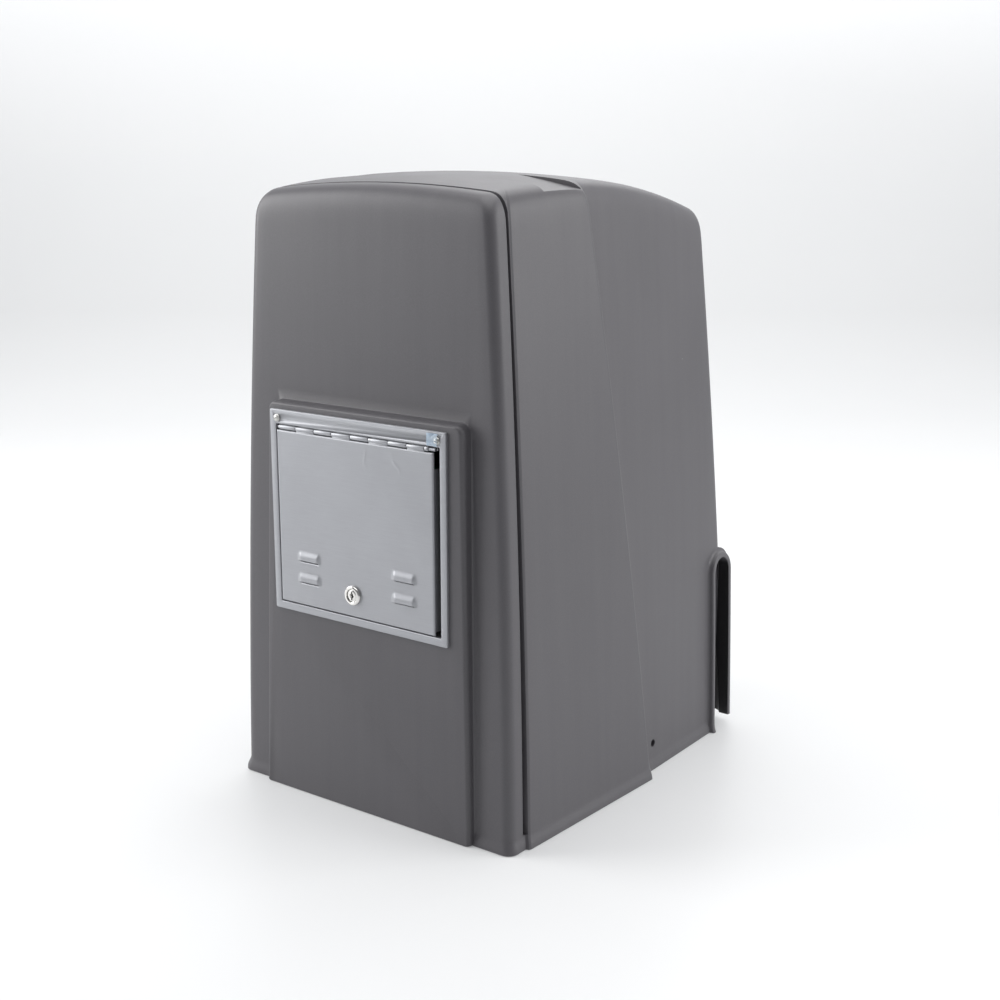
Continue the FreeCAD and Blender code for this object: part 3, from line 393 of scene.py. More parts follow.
ref = pad_outline(0, 0, 0)
pad_steps = [max(1, int(round(math.hypot(ref[i][0] - ref[(i + 1) % len(ref)][0], ref[i][1] - ref[(i + 1) % len(ref)][1]) / 12.0))) for i in range(len(ref))]
for grow, h in ((1.1, -3.0), (1.1, -0.2), (0.55, 0.12), (0.2, 0.5), (0.03, 1.0), (0.0, 1.6)):
    pad_rows.append([(x, -140 + ty(z) - h, z) for x, z in spread(pad_outline(grow, grow, grow))])
for i in range(9):
    t = math.radians(90 * i / 8)
    c_ = 1 - math.cos(t)
    pad_rows.append([(x, -141.9 - 3.5 * math.sin(t), z) for x, z in spread(pad_outline(-1.9 * c_, -2.7 * c_, -1.9 * c_))])
v, f = grid(pad_rows, True, True, True)
pad = make("t_pad", v, f, merge=2e-6)
lap("shells")
boolean(cover, pad, "UNION")
lap("pad")


# raised rims round the two rear openings
def side_x(y, z):
    yc = max(9 - 0.15 * z, -140 + ty(z) + 26) + 10
    yr = 138.5 - tr_(z)
    a, b = 112.2 - tx(z), 109.6 - tx(z)
    return a + (b - a) * max(0.0, min(1.0, (y - yc) / (yr - yc)))


def rim(sign):
    path = [((119.25 - 10.25), z, (-1.0, 0.0)) for z in (0.5, 3, 6, 12, 30, 50, 70, 90, 110, 118.5)]
    for i in range(1, 20):
        t = math.pi - math.pi * i / 20
        path.append((119.25 + 10.25 * math.cos(t), 118.5 + 10.25 * math.sin(t), (math.cos(t), math.sin(t))))
    path += [((119.25 + 10.25), z, (1.0, 0.0)) for z in (118.5, 110, 90, 70, 50, 30, 12, 6, 3, 0.5)]
    # cross-section: (outwards from the edge of the opening, height above the wall)
    sec = [(-1.0, -8.0), (-1.0, 3.0), (0.0, 3.4), (0.5, 3.75), (1.2, 3.9), (2.6, 3.9), (3.3, 3.6), (3.75, 3.0), (3.9, 2.0), (4.1, 1.2), (4.6, 0.6), (5.4, 0.2), (6.6, -0.1), (6.6, -2.5), (3.0, -8.0)]
    rows = []
    for y, z, (ny, nz) in path:
        ring = []
        flare = 1.3 * max(0.0, 1 - (z - 0.5) / 7.0) ** 2 if z < 7.5 else 0.0
        for u, h in sec:
            yy, zz = y + ny * u, max(0.5, z + nz * u)
            hh = h + (flare if h > 0.5 else 0)
            ring.append((sign * (side_x(yy, zz) + hh), yy, zz))
        rows.append(ring)
    v, f = grid(rows, True, True, True)
    return make("t_rim", v, f, merge=2e-6)


for s in (-1, 1):
    boolean(cover, rim(s), "UNION")

# groove that runs up the sides and over the roof
low = 9.0
sec = []
for z in [low - 0.0, 60, 120, 180, 240, 300, 360, 430]:
    sec.append((-140 + ty(z) + 12.9, z))
back = [(-140 + ty(z) + 15.9, z) for z in (430, 360, 300, 240, 180, 120, 60, low)]
v, f = prism_x(sec + back, -140, 140)
slot = make("t_slot", v, f)
boolean(slot, core, "DIFFERENCE")
boolean(cover, slot, "DIFFERENCE")


lap("groove")


# shallow lift scoops: on each side the roof drops in a step behind the front shoulder
def scoop(s):
    """Volume above the scoop floor, between its front wall and the rear step."""
    xs = [46, 58, 70, 82, 94, 106, 125]
    ys = [-83, -76, -68, -60, -54, -49.5]

    def floor_z(x, y):
        d = max(0.0, x - 50) / 50.0
        base = roof_z(50, y) - 4.6 * d ** 1.15 - (roof_z(50, y) - roof_z(x, y)) * 0.92
        return base if x > 50 else roof_z(x, y) + 0.3

    vs, fs = [], []
    for x in xs:
        for y in ys:
            vs.append((s * x, y, floor_z(x, y)))
    n = len(ys)
    for i in range(len(xs) - 1):
        for j in range(n - 1):
            a = i * n + j
            fs.append((a, a + 1, a + n + 1, a + n))
    top = len(vs)
    for x in xs:
        for y in ys:
            vs.append((s * x, y, 420.0))
    for i in range(len(xs) - 1):
        for j in range(n - 1):
            a = top + i * n + j
            fs.append((a, a + n, a + n + 1, a + 1))
    m = len(xs)
    for i in range(m - 1):
        a, b = i * n, (i + 1) * n
        fs.append((a, b, top + b, top + a))
        a, b = i * n + n - 1, (i + 1) * n + n - 1
        fs.append((b, a, top + a, top + b))
    for j in range(n - 1):
        fs.append((j + 1, j, top + j, top + j + 1))
        a = (m - 1) * n + j
        fs.append((a, a + 1, top + a + 1, top + a))
    return make("t_scoop", vs, fs)


for s in (-1, 1):
    boolean(cover, scoop(s), "DIFFERENCE")

boolean(cover, inside, "DIFFERENCE")

# openings
tools = []
door_hole = make("t_door", *prism_y(rect_round(-66, 66.3, 130.2, 247.5, (2, 2, 2, 2), 4), -152, -126))
boolean(cover, door_hole)
back_of_pad = make("t_back", *slab(-70, 80, -142.0, -125, -2, 257))
boolean(cover, back_of_pad)
for s in (-1, 1):
    x0, x1 = sorted((s * 101.5, s * 135))
    poly = [(109, -2)] + [(109, 118.5)] + [(119.25 - 10.25 * math.cos(math.radians(a)), 118.5 + 10.25 * math.sin(math.radians(a))) for a in range(6, 180, 6)] + [(129.5, 118.5), (129.5, -2)]
    boolean(cover, make("t_arch", *prism_x(poly, x0, x1)))
    v, f = lathe([(0, -15), (2.6, -15), (2.6, 15), (0, 15)], (s * 110, 25, 18.7), "x", 32)
    v = [(x, y, z) for x, y, z in v]
    boolean(cover, make("t_hole", v, f))
for x in (-64.5, 64):
    v, f = lathe([(0, -8), (1.6, -8), (1.6, 8), (0, 8)], (x, -143, 250), "y", 24)
    boolean(cover, make("t_screw", v, f))
poly = [(-33, -2)] + [(33 * math.cos(math.radians(a)), 85 + 33 * math.sin(math.radians(a))) for a in range(180, -1, -5)] + [(33, -2)]
boolean(cover, make("t_notch", *prism_y(poly[::-1], 105, 150)))
boolean(cover, make("t_rear", *slab(-125, 125, 129.45, 150, -4, 7)))
lap("openings")
tidy(cover, 32, 2e-6)

bm = bmesh.new()
bm.from_mesh(cover.data)
open_edges = [e for e in bm.edges if not e.is_manifold]
print("cover: faces", len(bm.faces), "open edges", len(open_edges), "volume cm3", round(bm.calc_volume() * 1e6, 1))
bm.free()

# ------------------------------------------------------------------ steel surround
LK = (-3.4, 145.0)
AX_Y, AX_Z = -146.2, 244.5
KN = [(-62.6, -49), (-33, -19), (-3, 11), (27, 41), (55, 57.6)]


def ring_plate(outer, inner, y_back, y_front, r=0.45):
    """Flat frame: outer and inner outlines with equal counts, rounded front edges."""
    rows = []

    def lay(loop, other, y, inset):
        out = []
        n = len(loop)
        cx = sum(p[0] for p in loop) / n
        cz = sum(p[1] for p in loop) / n
        for x, z in loop:
            out.append((x, y, z))
        return out

    def shrink(loop, d):
        n = len(loop)
        res = []
        for i in range(n):
            a, b = loop[i - 1], loop[(i + 1) % n]
            tx_, tz_ = b[0] - a[0], b[1] - a[1]
            l = math.hypot(tx_, tz_) or 1
            res.append((loop[i][0] - tz_ / l * d, loop[i][1] + tx_ / l * d))
        return res

    rows.append([(x, y_back, z) for x, z in outer])
    for i in range(4):
        t = math.radians(30 * i)
        rows.append([(x, y_front + r * (1 - math.sin(t)), z) for x, z in shrink(outer, r * (1 - math.cos(t)))])
    for i in range(4):
        t = math.radians(90 - 30 * i)
        rows.append([(x, y_front + r * (1 - math.sin(t)), z) for x, z in shrink(inner, -r * (1 - math.cos(t)))])
    rows.append([(x, y_back, z) for x, z in inner])
    rows.append(rows[0])
    return grid(rows, True)


outer = rect_round(-70.7, 70.7, 125.5, 255.5, (1.2, 1.2, 1.2, 1.2), 5)
inner = rect_round(-65.7, 66.0, 130.5, 246.4, (0.8, 0.8, 0.8, 0.8), 5)
v, f = ring_plate(outer, inner, -145.42, -147.3)
surround = make("service_surround", v, f, merge=3e-6)
for x in (-64.5, 64):
    vv, ff = lathe([(0, -3), (1.6, -3), (1.6, 3), (0, 3)], (x, -146.4, 250), "y", 24)
    boolean(surround, make("t_s", vv, ff))


def knuckle(a, b, up):
    """Rolled hinge knuckle, turned for a leaf running up or down behind the axis; the leaf itself is added by the
    caller.
    """
    sec = []
    r0, r1 = 1.06, 1.6
    n = 18
    outer_, inner_ = [], []
    for i in range(n + 1):
        t = math.radians(-70 + 305 * i / n) if up else math.radians(70 - 305 * i / n)
        outer_.append((r1 * math.cos(t), r1 * math.sin(t)))
        inner_.append((r0 * math.cos(t), r0 * math.sin(t)))
    pts = outer_ + inner_[::-1]
    m = len(pts)
    rows = []
    for x, k in ((a, 0.0), (b, 0.0)):
        rows.append([(x, AX_Y + py, AX_Z + pz) for py, pz in pts])
    v, f = [], []
    v = rows[0] + rows[1]
    for i in range(m):
        j = (i + 1) % m
        f.append((i, j, j + m, i + m))
    for i in range(n):
        f.append((i, m - 1 - i, m - 2 - i, i + 1))
        f.append((m + i, m + i + 1, 2 * m - 2 - i, 2 * m - 1 - i))
    return v, f


parts = []
for a, b in KN:
    parts.append(knuckle(a, b, True))
    parts.append(slab(a, b, -145.9, -144.9, AX_Z + 1.1, AX_Z + 3.0))
parts.append(slab(-65.6, 63.0, -144.6, -143.9, 243.8, 247.3))
kn = join("frame_knuckles", parts, merge=1e-6)
bevel(kn, 0.18, 2, 45)

# ------------------------------------------------------------------ door flap
DX0, DX1, DZ0, DZ1 = -65.3, 61.2, 131.0, 242.7
LOUV = [(-51.0, 160.0, 0.85), (-51.0, 146.0, 0.8), (27.0, 160.5, 1.0), (27.0, 146.5, 1.0)]
LW, LH, LHT = 22.0, 7.0, 1.4


def smooth01(t):
    t = max(0.0, min(1.0, t))
    return t * t * (3 - 2 * t)


def louvre(x, z):
    h = 0.0
    for lx, lz, k in LOUV:
        u, w = (x - lx) / LW, (z - lz) / LH
        if -0.05 < u < 1.05 and -0.02 < w < 1.15:
            side = min(u, 1 - u) * LW
            su = smooth01(side / 4.2)
            top = smooth01((1.08 - w) / 0.75)
            lip = smooth01((w + 0.02) / 0.09)
            h = max(h, LHT * k * su * (0.35 + 0.65 * su) * top * lip)
    return h


CRINKLE = [(-31.0, 241.5, -31.8, 236.0, 0.13, 0.7), (9.6, 241.5, 7.6, 229.0, 0.22, 0.8), (7.6, 232, 10.2, 226, 0.12, 0.6), (28.5, 241.0, 30.5, 236.5, 0.2, 0.8),
           (31.0, 233.5, 35.5, 229.5, 0.2, 0.8), (35.5, 229.5, 36.0, 226.5, 0.12, 0.6), (-12.0, 241, -11.2, 238.0, 0.14, 0.6), (44.0, 241, 44.8, 238.5, 0.16, 0.7), (-44, 241, -43.4, 238.8, 0.12, 0.7)]


def crinkle(x, z):
    h = 0.0
    for x0, z0, x1, z1, a, w in CRINKLE:
        dx, dz = x1 - x0, z1 - z0
        t = ((x - x0) * dx + (z - z0) * dz) / (dx * dx + dz * dz)
        tt = max(0.0, min(1.0, t))
        d = math.hypot(x - x0 - tt * dx, z - z0 - tt * dz)
        h = max(h, a * math.exp(-(d / w) ** 2) * (1 - 0.6 * tt))
    return h


def lines(a, b, step, fine):
    """Sorted grid lines with finer steps inside the given spans."""
    vals = [a]
    x = a
    while x < b - 1e-6:
        s = step
        for lo, hi, fs in fine:
            if lo - 1e-6 <= x < hi - 1e-6:
                s = fs
        x = min(b, x + s)
        vals.append(x)
    return vals


edge = [0.0, 0.12, 0.35, 0.7, 1.15]
drop = [1.15, 0.62, 0.3, 0.08, 0.0]
xs = [DX0 + e for e in edge] + lines(DX0 + 1.7, DX1 - 1.7, 1.25, [(-52, -28, 0.45), (26, 50, 0.45), (5, 12, 0.6), (27, 38, 0.6)]) + [DX1 - e for e in reversed(edge)]
zs = [DZ0 + e for e in edge] + lines(DZ0 + 1.7, DZ1 - 1.7, 1.3, [(145.5, 148, 0.22), (148, 154.5, 0.5), (159.5, 162, 0.22), (162, 168.5, 0.5), (225, 240.2, 0.6)]) + [DZ1 - e for e in reversed(edge)]
xs, zs = sorted(set(round(t, 4) for t in xs)), sorted(set(round(t, 4) for t in zs))


def edge_drop(d):
    if d >= 1.15:
        return 0.0
    return float(np.interp(d, edge, drop))


def wave(x, z):
    """The faint unevenness of thin sheet under its film."""
    return 0.05 * noise.noise(Vector((x * 0.021, 3.1, z * 0.019))) + 0.02 * noise.noise(Vector((x * 0.06, 7.7, z * 0.055)))


nx, nz = len(xs), len(zs)
front, backv = [], []
for z in zs:
    for x in xs:
        d = max(edge_drop(x - DX0), edge_drop(DX1 - x), edge_drop(z - DZ0), edge_drop(DZ1 - z))
        w = smooth01(min(x - DX0, DX1 - x, z - DZ0, DZ1 - z) / 12)
        lh = louvre(x, z)
        front.append((x, -147.3 + d - lh - crinkle(x, z) * w - abs(wave(x, z)) * w, z))
        backv.append((x, min(-146.05 - lh * 0.97 + 0.0, -146.05), z))
verts = front + backv
o = nx * nz
faces = []
for j in range(nz - 1):
    for i in range(nx - 1):
        a = j * nx + i
        faces.append((a, a + 1, a + nx + 1, a + nx))
        faces.append((o + a, o + a + nx, o + a + nx + 1, o + a + 1))
for i in range(nx - 1):
    faces.append((i + 1, i, o + i, o + i + 1))
    a = (nz - 1) * nx + i
    faces.append((a, a + 1, o + a + 1, o + a))
for j in range(nz - 1):
    a = j * nx
    faces.append((a, a + nx, o + a + nx, o + a))
    a = j * nx + nx - 1
    faces.append((a + nx, a, o + a, o + a + nx))
door = make("service_door_panel", verts, faces, merge=1e-6)
for lx, lz, k in LOUV:
    # the open mouth under each louvre
    boolean(door, make("t_l", *slab(lx + 3.2, lx + LW - 3.2, -150.5, -144, lz - 0.35, lz + 0.42 * 1.4)))
vv, ff = lathe([(0, -4), (5.6, -4), (5.6, 4), (0, 4)], (LK[0], -146.5, LK[1]), "y", 40)
boolean(door, make("t_k", vv, ff))
# returned side flanges
fl = []
for x0, x1 in ((DX0 + 0.25, DX0 + 1.45), (DX1 - 1.45, DX1 - 0.25)):
    fl.append(slab(x0, x1, -146.6, -140.4, DZ0 + 2, AX_Z - 12))
flanges = join("door_flanges", fl)
bevel(flanges, 0.3, 2)
parts = []
for i in range(4):
    a, b = KN[i][1] + 0.5, KN[i + 1][0] - 0.5
    parts.append(knuckle(a, b, False))
    parts.append(slab(a, b, -147.1, -146.1, AX_Z - 3.0, AX_Z - 1.15))
dkn = join("door_knuckles", parts, merge=1e-6)
bevel(dkn, 0.18, 2, 45)

lap("door")
# ------------------------------------------------------------------ lock
v, f = lathe([(4.05, -148.6), (4.12, -148.95), (4.35, -149.15), (5.1, -149.2), (5.75, -149.05), (6.15, -148.65), (6.3, -148.0), (6.3, -147.32),
              (5.5, -147.3), (5.5, -134.6), (5.2, -134.3), (4.3, -134.3), (4.05, -134.6)], (LK[0], 0, LK[1]), "y", 64)
# ring: drop the caps, close the loop
n = 64
rows_n = 13
faces = [q for q in f if len(q) == 4]
faces += [((rows_n - 1) * n + j, (rows_n - 1) * n + (j + 1) % n, (j + 1) % n, j) for j in range(n)]
barrel = make("lock_barrel_turned", v, faces, merge=1e-6)
v, f = lathe([(0, -148.75), (2.6, -148.78), (3.3, -148.7), (3.75, -148.45), (3.95, -148.05), (3.95, -134.4), (0, -134.4)], (LK[0], 0, LK[1]), "y", 56)
plug = make("lock_plug_turned", v, f, merge=1e-6)
x, z = LK
key = [(x - 0.55, z - 2.9), (x + 0.55, z - 2.9), (x + 0.55, z - 1.1), (x + 1.25, z - 0.9), (x + 1.25, z - 0.1), (x + 0.55, z + 0.1),
       (x + 0.55, z + 1.9), (x + 0.3, z + 2.6), (x - 0.3, z + 2.6), (x - 0.55, z + 1.9), (x - 0.55, z + 0.9), (x - 1.1, z + 0.7), (x - 1.1, z - 0.2), (x - 0.55, z - 0.4)]
boolean(plug, make("t_key", *prism_y(key, -151, -143)))
boolean(plug, make("t_cup", *lathe([(0, -1), (1.9, -1), (1.3, 0.35), (0, 0.35)], (x, -148.6, z), "y", 40)))
sharp(plug, 30)


# slotted pan-head screws
def pan(x, z, turn_):
    v, f = lathe([(0, -148.72), (0.7, -148.7), (1.4, -148.55), (2.0, -148.25), (2.4, -147.8), (2.55, -147.32), (1.5, -147.3), (1.5, -141), (1.2, -140.6), (0, -140.6)], (x, 0, z), "y", 40)
    ob = make("t_pan", v, f, merge=1e-6)
    c, s = math.cos(turn_), math.sin(turn_)
    q = [(x + a * c - b * s, z + a * s + b * c) for a, b in ((-3.6, -0.4), (3.6, -0.4), (3.6, 0.4), (-3.6, 0.4))]
    boolean(ob, make("t_q", *prism_y(q, -150, -147.95)))
    return ob


screws = []
for i, (x, z, t) in enumerate(((-64.5, 250, 0.5), (64, 250, -0.35))):
    ob = pan(x, z, t)
    ob.name = "plate_screw_%d" % (i + 1)
    sharp(ob, 30)
    screws.append(ob)

# lifted corner of the clear film round the right screw
rows = []
for j in range(15):
    w = j / 14
    row = []
    for i in range(15):
        u = i / 14
        x = 56.5 + 8.6 * u
        z = 246.8 + 7.6 * w
        lift = 0.12 + 0.55 * smooth01(1 - abs(u - 0.35) * 2.2) * (0.4 + 0.6 * w) + 0.5 * max(0.0, u + w - 1.35) ** 1.3
        d = math.hypot(x - 64, z - 250)
        if d < 3.7:
            lift = max(lift, 1.25)
        row.append((x, -147.35 - min(1.5, lift), z))
    rows.append(row)
vf, ff = grid(rows, False)
nn = len(vf)
vf2 = vf + [(x, y + 0.05, z) for x, y, z in vf]
ff2 = list(ff) + [tuple(i + nn for i in reversed(q)) for q in ff]
border = [(0, i) for i in range(15)] + [(j, 14) for j in range(1, 15)] + [(14, i) for i in range(13, -1, -1)] + [(j, 0) for j in range(13, 0, -1)]
bi = [j * 15 + i for j, i in border]
for a, b in zip(bi, bi[1:] + bi[:1]):
    ff2.append((b, a, a + nn, b + nn))
film = make("film_corner", vf2, ff2, merge=0)


lap("meshes")
# ------------------------------------------------------------------ materials
def new_mat(name):
    m = bpy.data.materials.new(name)
    m.use_nodes = True
    nt = m.node_tree
    bsdf = nt.nodes["Principled BSDF"]
    tc = nt.nodes.new("ShaderNodeTexCoord")
    return m, nt, bsdf, tc


def tex(nt, tc, scale, detail=4.0, rough=0.55, stretch=None, kind="Noise"):
    src = tc.outputs["Object"]
    if stretch:
        mp = nt.nodes.new("ShaderNodeMapping")
        mp.inputs["Scale"].default_value = stretch
        nt.links.new(src, mp.inputs["Vector"])
        src = mp.outputs["Vector"]
    t = nt.nodes.new("ShaderNodeTexNoise")
    t.inputs["Scale"].default_value = scale
    t.inputs["Detail"].default_value = detail
    t.inputs["Roughness"].default_value = rough
    nt.links.new(src, t.inputs["Vector"])
    return t.outputs["Fac"]


def ramp(nt, fac, stops):
    r = nt.nodes.new("ShaderNodeValToRGB")
    el = r.color_ramp.elements
    while len(el) < len(stops):
        el.new(0.5)
    for e, (p, c) in zip(el, stops):
        e.position = p
        e.color = (c[0], c[1], c[2], 1.0)
    nt.links.new(fac, r.inputs["Fac"])
    return r.outputs["Color"]


def span(nt, fac, lo, hi, a, b):
    m = nt.nodes.new("ShaderNodeMapRange")
    m.inputs["From Min"].default_value = lo
    m.inputs["From Max"].default_value = hi
    m.inputs["To Min"].default_value = a
    m.inputs["To Max"].default_value = b
    nt.links.new(fac, m.inputs["Value"])
    return m.outputs["Result"]


def mix(nt, fac, a, b, kind="MIX", amount=None):
    m = nt.nodes.new("ShaderNodeMix")
    m.data_type = "RGBA"
    m.blend_type = kind
    if amount is not None:
        m.inputs[0].default_value = amount
    else:
        nt.links.new(fac, m.inputs[0])
    for sock, val in ((m.inputs[6], a), (m.inputs[7], b)):
        if hasattr(val, "links"):
            nt.links.new(val, sock)
        else:
            sock.default_value = (val[0], val[1], val[2], 1.0)
    return m.outputs[2]


def bump(nt, bsdf, chain):
    """chain: (height output, distance in metres, strength)."""
    last = None
    for h, dist, strength in chain:
        b = nt.nodes.new("ShaderNodeBump")
        b.inputs["Distance"].default_value = dist
        b.inputs["Strength"].default_value = strength
        nt.links.new(h, b.inputs["Height"])
        if last is not None:
            nt.links.new(last, b.inputs["Normal"])
        last = b.outputs["Normal"]
    nt.links.new(last, bsdf.inputs["Normal"])


def tone(c, k):
    return tuple(min(1.0, max(0.0, t * k)) for t in c)


def plastic(name, col, rough=0.45, grain=0.00006, grain_scale=1500, spread=0.07, spec=0.5, blotch=18):
    m, nt, b, tc = new_mat(name)
    big = tex(nt, tc, blotch, 5, 0.6)
    col1 = ramp(nt, big, [(0.3, tone(col, 1 - spread)), (0.7, tone(col, 1 + spread))])
    fine = tex(nt, tc, grain_scale, 2, 0.5)
    speck = ramp(nt, fine, [(0.35, (0.93,) * 3), (0.65, (1.05,) * 3)])
    nt.links.new(mix(nt, None, col1, speck, "MULTIPLY", 1.0), b.inputs["Base Color"])
    nt.links.new(span(nt, tex(nt, tc, 40, 4), 0.3, 0.7, rough - 0.05, rough + 0.05), b.inputs["Roughness"])
    b.inputs["Specular IOR Level"].default_value = spec
    bump(nt, b, [(big, 0.0004, 0.12), (fine, grain, 0.8)])
    return m


def metal(name, col, rough=0.35, metallic=1.0, brush=None, scale=120, spread=0.1, grain=0.00003, cast=False):
    m, nt, b, tc = new_mat(name)
    base = tex(nt, tc, scale, 6, 0.65, brush)
    wide = tex(nt, tc, 22, 4, 0.6)
    c = ramp(nt, base, [(0.28, tone(col, 1 - spread)), (0.72, tone(col, 1 + spread))])
    w = ramp(nt, wide, [(0.3, (0.86,) * 3), (0.7, (1.06,) * 3)])
    nt.links.new(mix(nt, None, c, w, "MULTIPLY", 1.0), b.inputs["Base Color"])
    b.inputs["Metallic"].default_value = metallic
    nt.links.new(span(nt, base, 0.25, 0.75, rough - 0.08, rough + 0.1), b.inputs["Roughness"])
    chain = [(base, grain, 0.6)]
    if cast:
        chain = [(tex(nt, tc, 700, 3), 0.00018, 0.7), (wide, 0.0005, 0.25)]
    bump(nt, b, chain)
    return m


# cover: satin moulded plastic, fine texture, faint flow marks down the faces, painted shade inside the rear openings
def cover_material():
    m, nt, b, tc = new_mat("cover_plastic_look")
    col = (0.0905, 0.087, 0.095)
    blotch = tex(nt, tc, 9, 4, 0.6)
    flow = tex(nt, tc, 14, 3, 0.5, (9.0, 9.0, 0.35))
    fine = tex(nt, tc, 1700, 2, 0.5)
    c1 = ramp(nt, blotch, [(0.3, tone(col, 0.95)), (0.7, tone(col, 1.05))])
    c2 = ramp(nt, flow, [(0.3, (0.965, 0.965, 0.97)), (0.7, (1.03, 1.03, 1.03))])
    c3 = mix(nt, None, c1, c2, "MULTIPLY", 1.0)
    c4 = ramp(nt, fine, [(0.35, (0.94,) * 3), (0.65, (1.05,) * 3)])
    c5 = mix(nt, None, c3, c4, "MULTIPLY", 1.0)
    # a few pale dust specks
    vor = nt.nodes.new("ShaderNodeTexVoronoi")
    vor.inputs["Scale"].default_value = 60
    nt.links.new(tc.outputs["Object"], vor.inputs["Vector"])
    dots = span(nt, vor.outputs["Distance"], 0.012, 0.022, 1.0, 0.0)
    few = nt.nodes.new("ShaderNodeMath")
    few.operation = "GREATER_THAN"
    few.inputs[1].default_value = 0.965
    sep = nt.nodes.new("ShaderNodeSeparateColor")
    nt.links.new(vor.outputs["Color"], sep.inputs["Color"])
    nt.links.new(sep.outputs["Red"], few.inputs[0])
    mul = nt.nodes.new("ShaderNodeMath")
    mul.operation = "MULTIPLY"
    nt.links.new(dots, mul.inputs[0])
    nt.links.new(few.outputs[0], mul.inputs[1])
    c6 = mix(nt, mul.outputs[0], c5, (0.42, 0.41, 0.4))
    # painted shade: forward-facing walls inside the rear openings, behind y = 126 mm, are coloured near black to
    # stand in for the shadow there
    at = nt.nodes.new("ShaderNodeSeparateXYZ")
    nt.links.new(tc.outputs["Object"], at.inputs["Vector"])
    face = nt.nodes.new("ShaderNodeSeparateXYZ")
    nt.links.new(tc.outputs["Normal"], face.inputs["Vector"])
    painted_shade_depth = span(nt, at.outputs["Y"], 0.1262, 0.1285, 0.0, 1.0)
    painted_shade_facing = span(nt, face.outputs["Y"], -0.85, -0.55, 1.0, 0.0)
    painted_shade_mask = nt.nodes.new("ShaderNodeMath")
    painted_shade_mask.operation = "MULTIPLY"
    nt.links.new(painted_shade_depth, painted_shade_mask.inputs[0])
    nt.links.new(painted_shade_facing, painted_shade_mask.inputs[1])
    # painted shade mixed in: near-black colour wherever the position and facing mask is set
    colour_with_painted_shade = mix(nt, painted_shade_mask.outputs[0], c6, (0.016, 0.015, 0.017))
    nt.links.new(colour_with_painted_shade, b.inputs["Base Color"])
    nt.links.new(span(nt, blotch, 0.3, 0.7, 0.4, 0.5), b.inputs["Roughness"])
    b.inputs["Specular IOR Level"].default_value = 0.5
    bump(nt, b, [(flow, 0.0006, 0.08), (fine, 0.00005, 0.8)])
    return m


def film_steel():
    """Satin stainless sheet seen through its clear, slightly blue film."""
    m, nt, b, tc = new_mat("door_steel_look")
    col = (0.345, 0.352, 0.375)
    wide = tex(nt, tc, 16, 4, 0.6)
    brush = tex(nt, tc, 60, 4, 0.7, (1.0, 1.0, 28.0))
    c1 = ramp(nt, wide, [(0.3, tone(col, 0.95)), (0.7, tone(col, 1.05))])
    c2 = ramp(nt, brush, [(0.3, (0.965,) * 3), (0.7, (1.03,) * 3)])
    nt.links.new(mix(nt, None, c1, c2, "MULTIPLY", 1.0), b.inputs["Base Color"])
    b.inputs["Metallic"].default_value = 0.55
    nt.links.new(span(nt, wide, 0.3, 0.7, 0.36, 0.48), b.inputs["Roughness"])
    b.inputs["Coat Weight"].default_value = 0.35
    b.inputs["Coat Roughness"].default_value = 0.25
    bump(nt, b, [(wide, 0.0006, 0.12), (brush, 0.00002, 0.5)])
    return m


M = {
    "cover_plastic": cover_material(),
    "door_steel": film_steel(),
    "lock_chrome": metal("lock_chrome_look", (0.72, 0.71, 0.69), 0.16, 1.0, None, 90, 0.06, 0.00001),
    "zinc_steel": metal("zinc_steel_look", (0.56, 0.56, 0.54), 0.34, 1.0, None, 260, 0.12),
    "cast_aluminium": metal("cast_aluminium_look", (0.47, 0.47, 0.475), 0.5, 0.85, None, 240, 0.08, cast=True),
    "gear_steel": metal("gear_steel_look", (0.42, 0.42, 0.43), 0.3, 1.0, None, 300, 0.1),
    "bearing_steel": metal("bearing_steel_look", (0.62, 0.62, 0.63), 0.18, 1.0, None, 200, 0.05),
    "gear_bronze": metal("gear_bronze_look", (0.56, 0.36, 0.15), 0.33, 1.0, None, 200, 0.1),
    "black_rubber": plastic("black_rubber_look", (0.018, 0.018, 0.019), 0.7, 0.00008, 1200),
    "oil_brass": metal("oil_brass_look", (0.62, 0.46, 0.2), 0.3, 1.0, None, 220, 0.08),
    "lamination": metal("lamination_look", (0.3, 0.3, 0.31), 0.42, 1.0, (1.0, 1.0, 60.0), 60, 0.25),
    "copper_wire": metal("copper_wire_look", (0.62, 0.25, 0.11), 0.34, 1.0, (60.0, 60.0, 6.0), 22, 0.3, 0.0002),
    "black_plastic": plastic("black_plastic_look", (0.024, 0.024, 0.026), 0.42),
    "painted_steel": metal("painted_steel_look", (0.5, 0.5, 0.5), 0.38, 0.8, None, 180, 0.06),
    "capacitor_case": plastic("capacitor_case_look", (0.55, 0.55, 0.53), 0.4, 0.00003),
    "red_plastic": plastic("red_plastic_look", (0.5, 0.03, 0.022), 0.38),
    "nylon": plastic("nylon_look", (0.6, 0.58, 0.52), 0.48),
    "circuit_board": plastic("circuit_board_look", (0.015, 0.11, 0.045), 0.35, 0.00004, 600, 0.2, 0.5, 160),
    "green_plastic": plastic("green_plastic_look", (0.03, 0.22, 0.09), 0.4),
    "transformer_tape": plastic("transformer_tape_look", (0.62, 0.45, 0.06), 0.45),
}


def film_material():
    m, nt, b, tc = new_mat("film_look")
    w = tex(nt, tc, 160, 4, 0.6)
    c = ramp(nt, w, [(0.3, (0.42, 0.56, 0.72)), (0.7, (0.68, 0.78, 0.88))])
    nt.links.new(c, b.inputs["Base Color"])
    nt.links.new(span(nt, w, 0.3, 0.7, 0.12, 0.28), b.inputs["Roughness"])
    b.inputs["Alpha"].default_value = 0.42
    bump(nt, b, [(w, 0.0003, 0.4)])
    return m


def finish_piece(ob, body, slot_, *nodes):
    ob.data.materials.clear()
    ob.data.materials.append(M[slot_])
    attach(ob, body)
    if nodes:
        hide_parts(*nodes)


